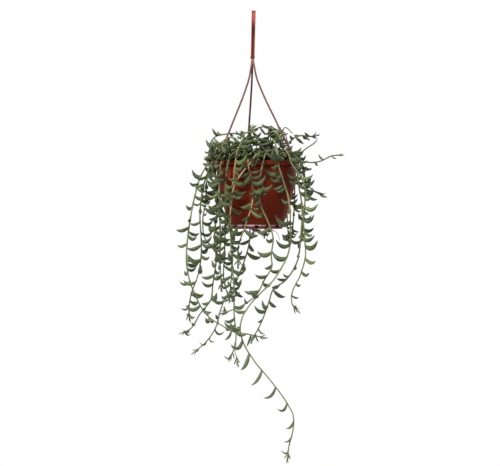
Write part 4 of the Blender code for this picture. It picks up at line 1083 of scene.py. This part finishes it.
# More leaves. A real stem is set far more closely than the rule's first leaves, so two passes fill in between
# them where there is room, most of all over the pot's rim. Stems whose leaves favour one side take them only
# down to the pot's foot, and the thin stems on the right take none.
ONE_SIDED_LOWEST = -370 * MM
THIN_STEMS = (14, 15, 17)  # places in STEMS, from 0
FILLER_SHARE = 0.95  # of the stem's leaf length
# Each pass: its seeds, the first place, the spacing, how far leaves are squeezed, and where it ends.
PASSES = ((8000, HOLE_DEPTH + FIRST_LEAF * 1.6, LEAF_SPACING * 0.8, 0.45, -600 * MM),
          (20000, HOLE_DEPTH + FIRST_LEAF * 0.6, LEAF_SPACING * 0.8, 0.25, -370 * MM))
for seeds, start, spacing, squeeze, lowest in PASSES:
    for index, (leaf_length, favoured, _, _) in enumerate(STEMS):
        if leaf_length and index not in THIN_STEMS:
            line = lines[index]
            end = lowest if favoured is None else max(lowest, ONE_SIDED_LOWEST)
            reach = len(line) if line[-1, 2] > end else max(2, int(np.argmax(line[:, 2] < end)))
            leaves[index] += leaves_of(index, line[:reach], fine_part(fines[index], reach, len(line)),
                                       leaf_length * MM * FILLER_SHARE, favoured, crowd, seeds + index,
                                       start, spacing, (2 * index,), squeeze)

# The finished stems, each with its leaves and the cluster of tiny leaves at its tip. Some stems are darker
# than the rest, partly by their own tone and partly as painted shade among the others, at the back and in the
# mound, and those over the pot's sunny front are tanned.
FINISHED_SHARE = 0.97  # of the radius that the rule keeps clear
LONG_LEAF = 20  # millimetres, over which a stem's tip cluster is large
TIP_SIZES = (15 * MM, 9 * MM)
TIP_SEEDS, LEAF_TONES, TIP_TONES = 500, 900, 950  # plus the stem's index
# How dark a stem is, partly as painted shade, and how tan, by its place in STEMS, from 0.
DARK_STEMS = {1: 0.7, 2: 0.55, 3: 0.85, 4: 0.5, 5: 0.75, 6: 0.4, 9: 0.35, 11: 0.4, 12: 0.45, 14: 0.4, 15: 0.4,
              16: 0.6, 17: 0.7, 18: 0.6, 19: 0.8, 20: 0.5, 22: 0.6, 24: 0.6, 25: 0.6}
TANNED_STEMS = {6: 0.8, 7: 0.8, 8: 0.8, 9: 0.3, 10: 0.45}
for index, (leaf_length, _, _, _) in enumerate(STEMS):
    number = f"{index + 1:02d}"
    node = f"vine_{number}"
    fine = fines[index]
    joints = [leaf[0] for leaf in leaves[index]]
    stem = stem_skin(f"stem_{number}", fine, stem_radii(fine) * FINISHED_SHARE, joints,
                     TANNED_STEMS.get(index, 0), DARK_STEMS.get(index, 0))
    if leaf_length:
        hold(stem, stem_skin_finish, "vine_green", node)
        hold(leaf_skin(f"leaves_{number}", leaves[index], LEAF_TONES + index), leaf_flesh, "vine_green", node)
        cluster = bud_leaves(fine, TIP_SIZES[leaf_length <= LONG_LEAF], TIP_SEEDS + index)
        buds = leaf_skin(f"buds_{number}", cluster, TIP_TONES + index, BUD_SLENDER)
        hold(buds, leaf_flesh, "vine_green", node)
    else:
        hold(stem, dry_shoot, "shoot_brown", node)

# Dry old shoots. Three stems that have died back stand up from the soil along the leg on the right. They
# are leafless, rust-brown and wrinkled, and lean inwards over the pot.
DRY_RADII = (1.5 * MM, 0.9 * MM)  # at the root and the tip
# Each shoot: its root on the soil, then its way, in millimetres.
DRY_SHOOTS = (
    ((56, -38), ((63, -44, -262), (62, -47, -249), (57, -48, -236), (50, -46, -222), (43, -42, -209))),
    ((59, -32), ((67, -42, -260), (65, -48, -247), (61, -50, -238), (58, -50, -228), (55, -47, -218))),
    ((50, -40), ((57, -52, -258), (59, -56, -250), (55, -56, -241), (51, -54, -234))),
)
for k, (root, way) in enumerate(DRY_SHOOTS):
    old = stem_curve(np.array(root) * MM, np.array(way) * MM, FINE_STEP)
    radii = np.linspace(*DRY_RADII, len(old))
    crowd.add(old, radii, FIXED)
    hold(stem_skin(f"dry_shoot_{k + 1}", old, radii), dry_shoot, "shoot_brown")

# Young shoots in the mound. Between the older ones, short shoots rise from the soil and arch outwards over
# the pot, set with plump leaves that stand and droop every way, so that the soil hardly shows.
SHOOT_LEAF = 39 * MM
SHOOT_SPACING = 12 * MM
SHOOT_LEAN = (-0.6, 0.6)  # to either side of straight outwards
SHOOT_STEP = 9 * MM
SHOOT_TRIES = 60
SHOOT_BARE = 6 * MM  # without leaves above the soil
SHOOT_SQUEEZE = 0.35
SHOOT_SHRINK = 0.3
SHOOT_LIFTS = (-0.8, 0.2)
SHOOT_TIP_SIZE = 12 * MM
SHOOT_THINNESS = 0.8  # of a long stem's radius
# Painted shade on the young stems inside the mound.
SHOOT_SHADE = 0.5
SHOOT_SEED, SHOOT_LEAF_SEEDS, SHOOT_TIP_SEEDS, SHOOT_TONES = 4, 12000, 700, 77
MOUND_EDGE = 64 * MM  # the mound stops short on the right, where only thin sprigs reach out
# Each group: its count, then the ranges of its roots' direction in degrees and their distance from the pot's
# middle, of its shoots' height, and of their reach outwards, in millimetres.
SHOOT_GROUPS = (
    (24, (0, 360), (26, 62), (8, 22), (16, 34)),  # low, all round
    (34, (-115, 100), (2, 46), (52, 80), (6, 30)),  # the tall middle, towards the right
    (22, (120, 250), (24, 62), (26, 54), (12, 30)),  # spilling over on the left
    (18, (130, 240), (44, 66), (26, 50), (6, 20)),  # the left edge
    (14, (60, 200), (10, 50), (20, 44), (10, 30)),  # the rear
    (14, (200, 340), (20, 58), (18, 40), (10, 26)),  # the front
    (14, (215, 335), (48, 62), (16, 26), (16, 28)),  # over the front rim
)


def shoot_line(dice, turn_range, reach_range, height_range, out_range):
    """The root, somewhere on the soil, and the way of a short arch from it, up and outwards."""
    turn = math.radians(dice.uniform(*turn_range))
    reach = dice.uniform(*reach_range) * MM
    lean = turn + dice.uniform(*SHOOT_LEAN)
    height = dice.uniform(*height_range) * MM
    out = dice.uniform(*out_range) * MM
    root = np.array([POT_X + reach * math.cos(turn), reach * math.sin(turn)])
    away = np.array([math.cos(lean), math.sin(lean), 0])
    foot = np.array([*root, root_height(root)])
    way = [foot + away * out * 0.2 + (0, 0, height * 0.6), foot + away * out * 0.6 + (0, 0, height),
           foot + away * out * 1.2 + (0, 0, height * 0.85)]
    return root, np.array(way)


def grow_shoot(dice, ranges):
    """Adds one shoot and its leaves, at the first of the places drawn that has room."""
    for _ in range(SHOOT_TRIES):
        root, way = shoot_line(dice, *ranges)
        line = stem_curve(root, way, SHOOT_STEP)
        if clear_of_pot(line[2:], STEM_RADIUS) and crowd.room(line[1:], STEM_RADIUS, ()) > 0:
            owner = len(STEMS) + len(young_stems)
            fine = stem_curve(root, way, FINE_STEP)
            crowd.add(line, stem_radii(line), 2 * owner)
            grown = leaves_of(owner, line, fine, SHOOT_LEAF, None, crowd, SHOOT_LEAF_SEEDS + owner,
                              HOLE_DEPTH + SHOOT_BARE, SHOOT_SPACING, (2 * owner,), SHOOT_SQUEEZE,
                              SHOOT_SHRINK, SHOOT_LIFTS, along_rim)
            grown += bud_leaves(fine, SHOOT_TIP_SIZE, SHOOT_TIP_SEEDS + owner)
            young_stems.append(fine)
            young_leaves.extend(leaf for leaf in grown if leaf[2, 0] < MOUND_EDGE)
            return


dice = random.Random(SHOOT_SEED)
young_stems, young_leaves = [], []
for count, *ranges in SHOOT_GROUPS:
    for _ in range(count):
        grow_shoot(dice, ranges)
for k, fine in enumerate(young_stems):
    stem = stem_skin(f"young_stem_{k + 1:02d}", fine, stem_radii(fine) * SHOOT_THINNESS, shade=SHOOT_SHADE)
    hold(stem, stem_skin_finish, "vine_green")
hold(leaf_skin("young_leaves", young_leaves, SHOOT_TONES), leaf_flesh, "vine_green")

# The fork and the roots. The long stem at the front forks above its tip, and its short prong ends in tiny
# leaves of its own. Two thin pinkish roots have found their way out by the slots round the pot's foot.
FORK = np.array([(-33.7, -76, -592.2), (-33.1, -76, -608.4), (-30.1, -77, -619.2), (-28.3, -78, -630)]) * MM
FORK_ROWS = 16
FORK_TAPER = (1, 0.7)  # radii in millimetres
FORK_TIP_SIZE = 16 * MM
FORK_TIP_SEED, FORK_TONES = 611, 612
ROOTS = (((25, -43, -387), (31, -48, -391), (42, -50, -398), (46.4, -50, -411.3)),
         ((1.5, -43, -387), (2, -46, -391), (2.6, -47, -395), (2.3, -47, -400.5)))
ROOT_ROWS = 14
ROOT_RADIUS = 0.65 * MM
ROOT_TAPER = (1, 0.6)  # shares of that radius
ROOT_PINKS = ((0.20, 0.075, 0.16), (0.32, 0.16, 0.22))
fork = smooth_line(FORK, FORK_ROWS)
prong = stem_skin("fork_stem", fork, np.linspace(*FORK_TAPER, FORK_ROWS) * MM)
hold(prong, stem_skin_finish, "vine_green", "vine_07")
prong_tip = bud_leaves(fork, FORK_TIP_SIZE, FORK_TIP_SEED)
prong_leaves = leaf_skin("fork_leaves", prong_tip, FORK_TONES, BUD_SLENDER)
hold(prong_leaves, leaf_flesh, "vine_green", "vine_07")
root_skin, root_tree, root_shader = finish_of("root_skin", roughness=0.6, specular_ior_level=0.25)
root_color = blend(root_tree, speckle(root_tree, 140, 0.3, 0.7), *ROOT_PINKS)
root_tree.links.new(root_color, root_shader.inputs["Base Color"])
for k, way in enumerate(ROOTS):
    thin = smooth_line(np.array(way) * MM, ROOT_ROWS)
    root = stem_skin(f"root_{k + 1}", thin, np.linspace(*ROOT_TAPER, ROOT_ROWS) * ROOT_RADIUS)
    hold(root, root_skin, "vine_green")

# The studio: a pale floor well below the plant, white light all round, a large soft lamp from the upper left
# and a weaker one behind. The camera stands level, far off, so that near and far stems keep the same scale.
PIXEL = 1.8 * MM
IMAGE_SIZE = (500, 466)
HOOK_PIXEL = (253.7, 12)  # where the hang point lies in the photograph
CAMERA_DISTANCE = 4.5
SENSOR_WIDTH = 36  # millimetres, as the lens
FLOOR_Z = -1.3
FLOOR_RADIUS = 1.2
FLOOR_SLAB = 0.02
FLOOR_COLUMNS = 96
FLOOR_GREYS = ((0.78, 0.78, 0.77), (0.74, 0.74, 0.73))
KEY_LAMP = ((-1.3, -2.0, 1.6), 0.9, 120)  # its place, its size and its power in watts
REAR_LAMP = ((1.4, 2.0, 0.6), 1.2, 40)
LAMP_TARGET = (0, 0, -0.35)
AMBIENT = 0.36  # how brightly the white surroundings light the plant
view_width = IMAGE_SIZE[0] * PIXEL
center_x = (IMAGE_SIZE[0] / 2 - HOOK_PIXEL[0]) * PIXEL
center_z = (HOOK_PIXEL[1] - IMAGE_SIZE[1] / 2) * PIXEL
camera = bpy.data.objects.new("camera", bpy.data.cameras.new("camera"))
camera.location = (center_x, -CAMERA_DISTANCE, center_z)
camera.rotation_euler = (math.pi / 2, 0, 0)
camera.data.sensor_width = SENSOR_WIDTH
camera.data.lens = SENSOR_WIDTH * CAMERA_DISTANCE / view_width
bpy.context.scene.collection.objects.link(camera)
bpy.context.scene.camera = camera
bpy.context.scene.view_settings.view_transform = "Standard"

floor_profile = rounded([(0.01, -FLOOR_SLAB, 0), (FLOOR_RADIUS, -FLOOR_SLAB, 0.005),
                         (FLOOR_RADIUS, 0, 0.01), (0.01, 0, 0)])
floor_turns = np.arange(FLOOR_COLUMNS) * math.tau / FLOOR_COLUMNS
floor = skin("studio_floor", turned(floor_profile + (0, FLOOR_Z), floor_turns, 0))
floor_finish, floor_tree, floor_shader = finish_of("pale_floor", roughness=0.85, specular_ior_level=0.2)
floor_color = blend(floor_tree, speckle(floor_tree, 3, 0.3, 0.7), *FLOOR_GREYS)
floor_tree.links.new(floor_color, floor_shader.inputs["Base Color"])
floor.data.materials.append(floor_finish)
crease(floor, 30)

world = bpy.data.worlds.new("white_studio")
world.use_nodes = True
sky = world.node_tree
backdrop = plug(sky, "Background", {"Color": (1, 1, 1, 1), "Strength": 1.0})
ambience = plug(sky, "Background", {"Color": (1, 1, 1, 1), "Strength": AMBIENT})
seen = plug(sky, "LightPath").outputs["Is Camera Ray"]
mixed = plug(sky, "MixShader", {0: seen, 1: ambience.outputs[0], 2: backdrop.outputs[0]})
sky.links.new(mixed.outputs[0], sky.nodes["World Output"].inputs["Surface"])
bpy.context.scene.world = world


def soft_lamp(name, place, size, power):
    """A square lamp aimed at the plant."""
    lamp = bpy.data.lights.new(name, "AREA")
    lamp.size = size
    lamp.energy = power
    holder = bpy.data.objects.new(name, lamp)
    holder.location = place
    holder.rotation_euler = (Vector(LAMP_TARGET) - Vector(place)).to_track_quat("-Z", "Y").to_euler()
    bpy.context.scene.collection.objects.link(holder)


soft_lamp("key_lamp", *KEY_LAMP)
soft_lamp("rear_lamp", *REAR_LAMP)
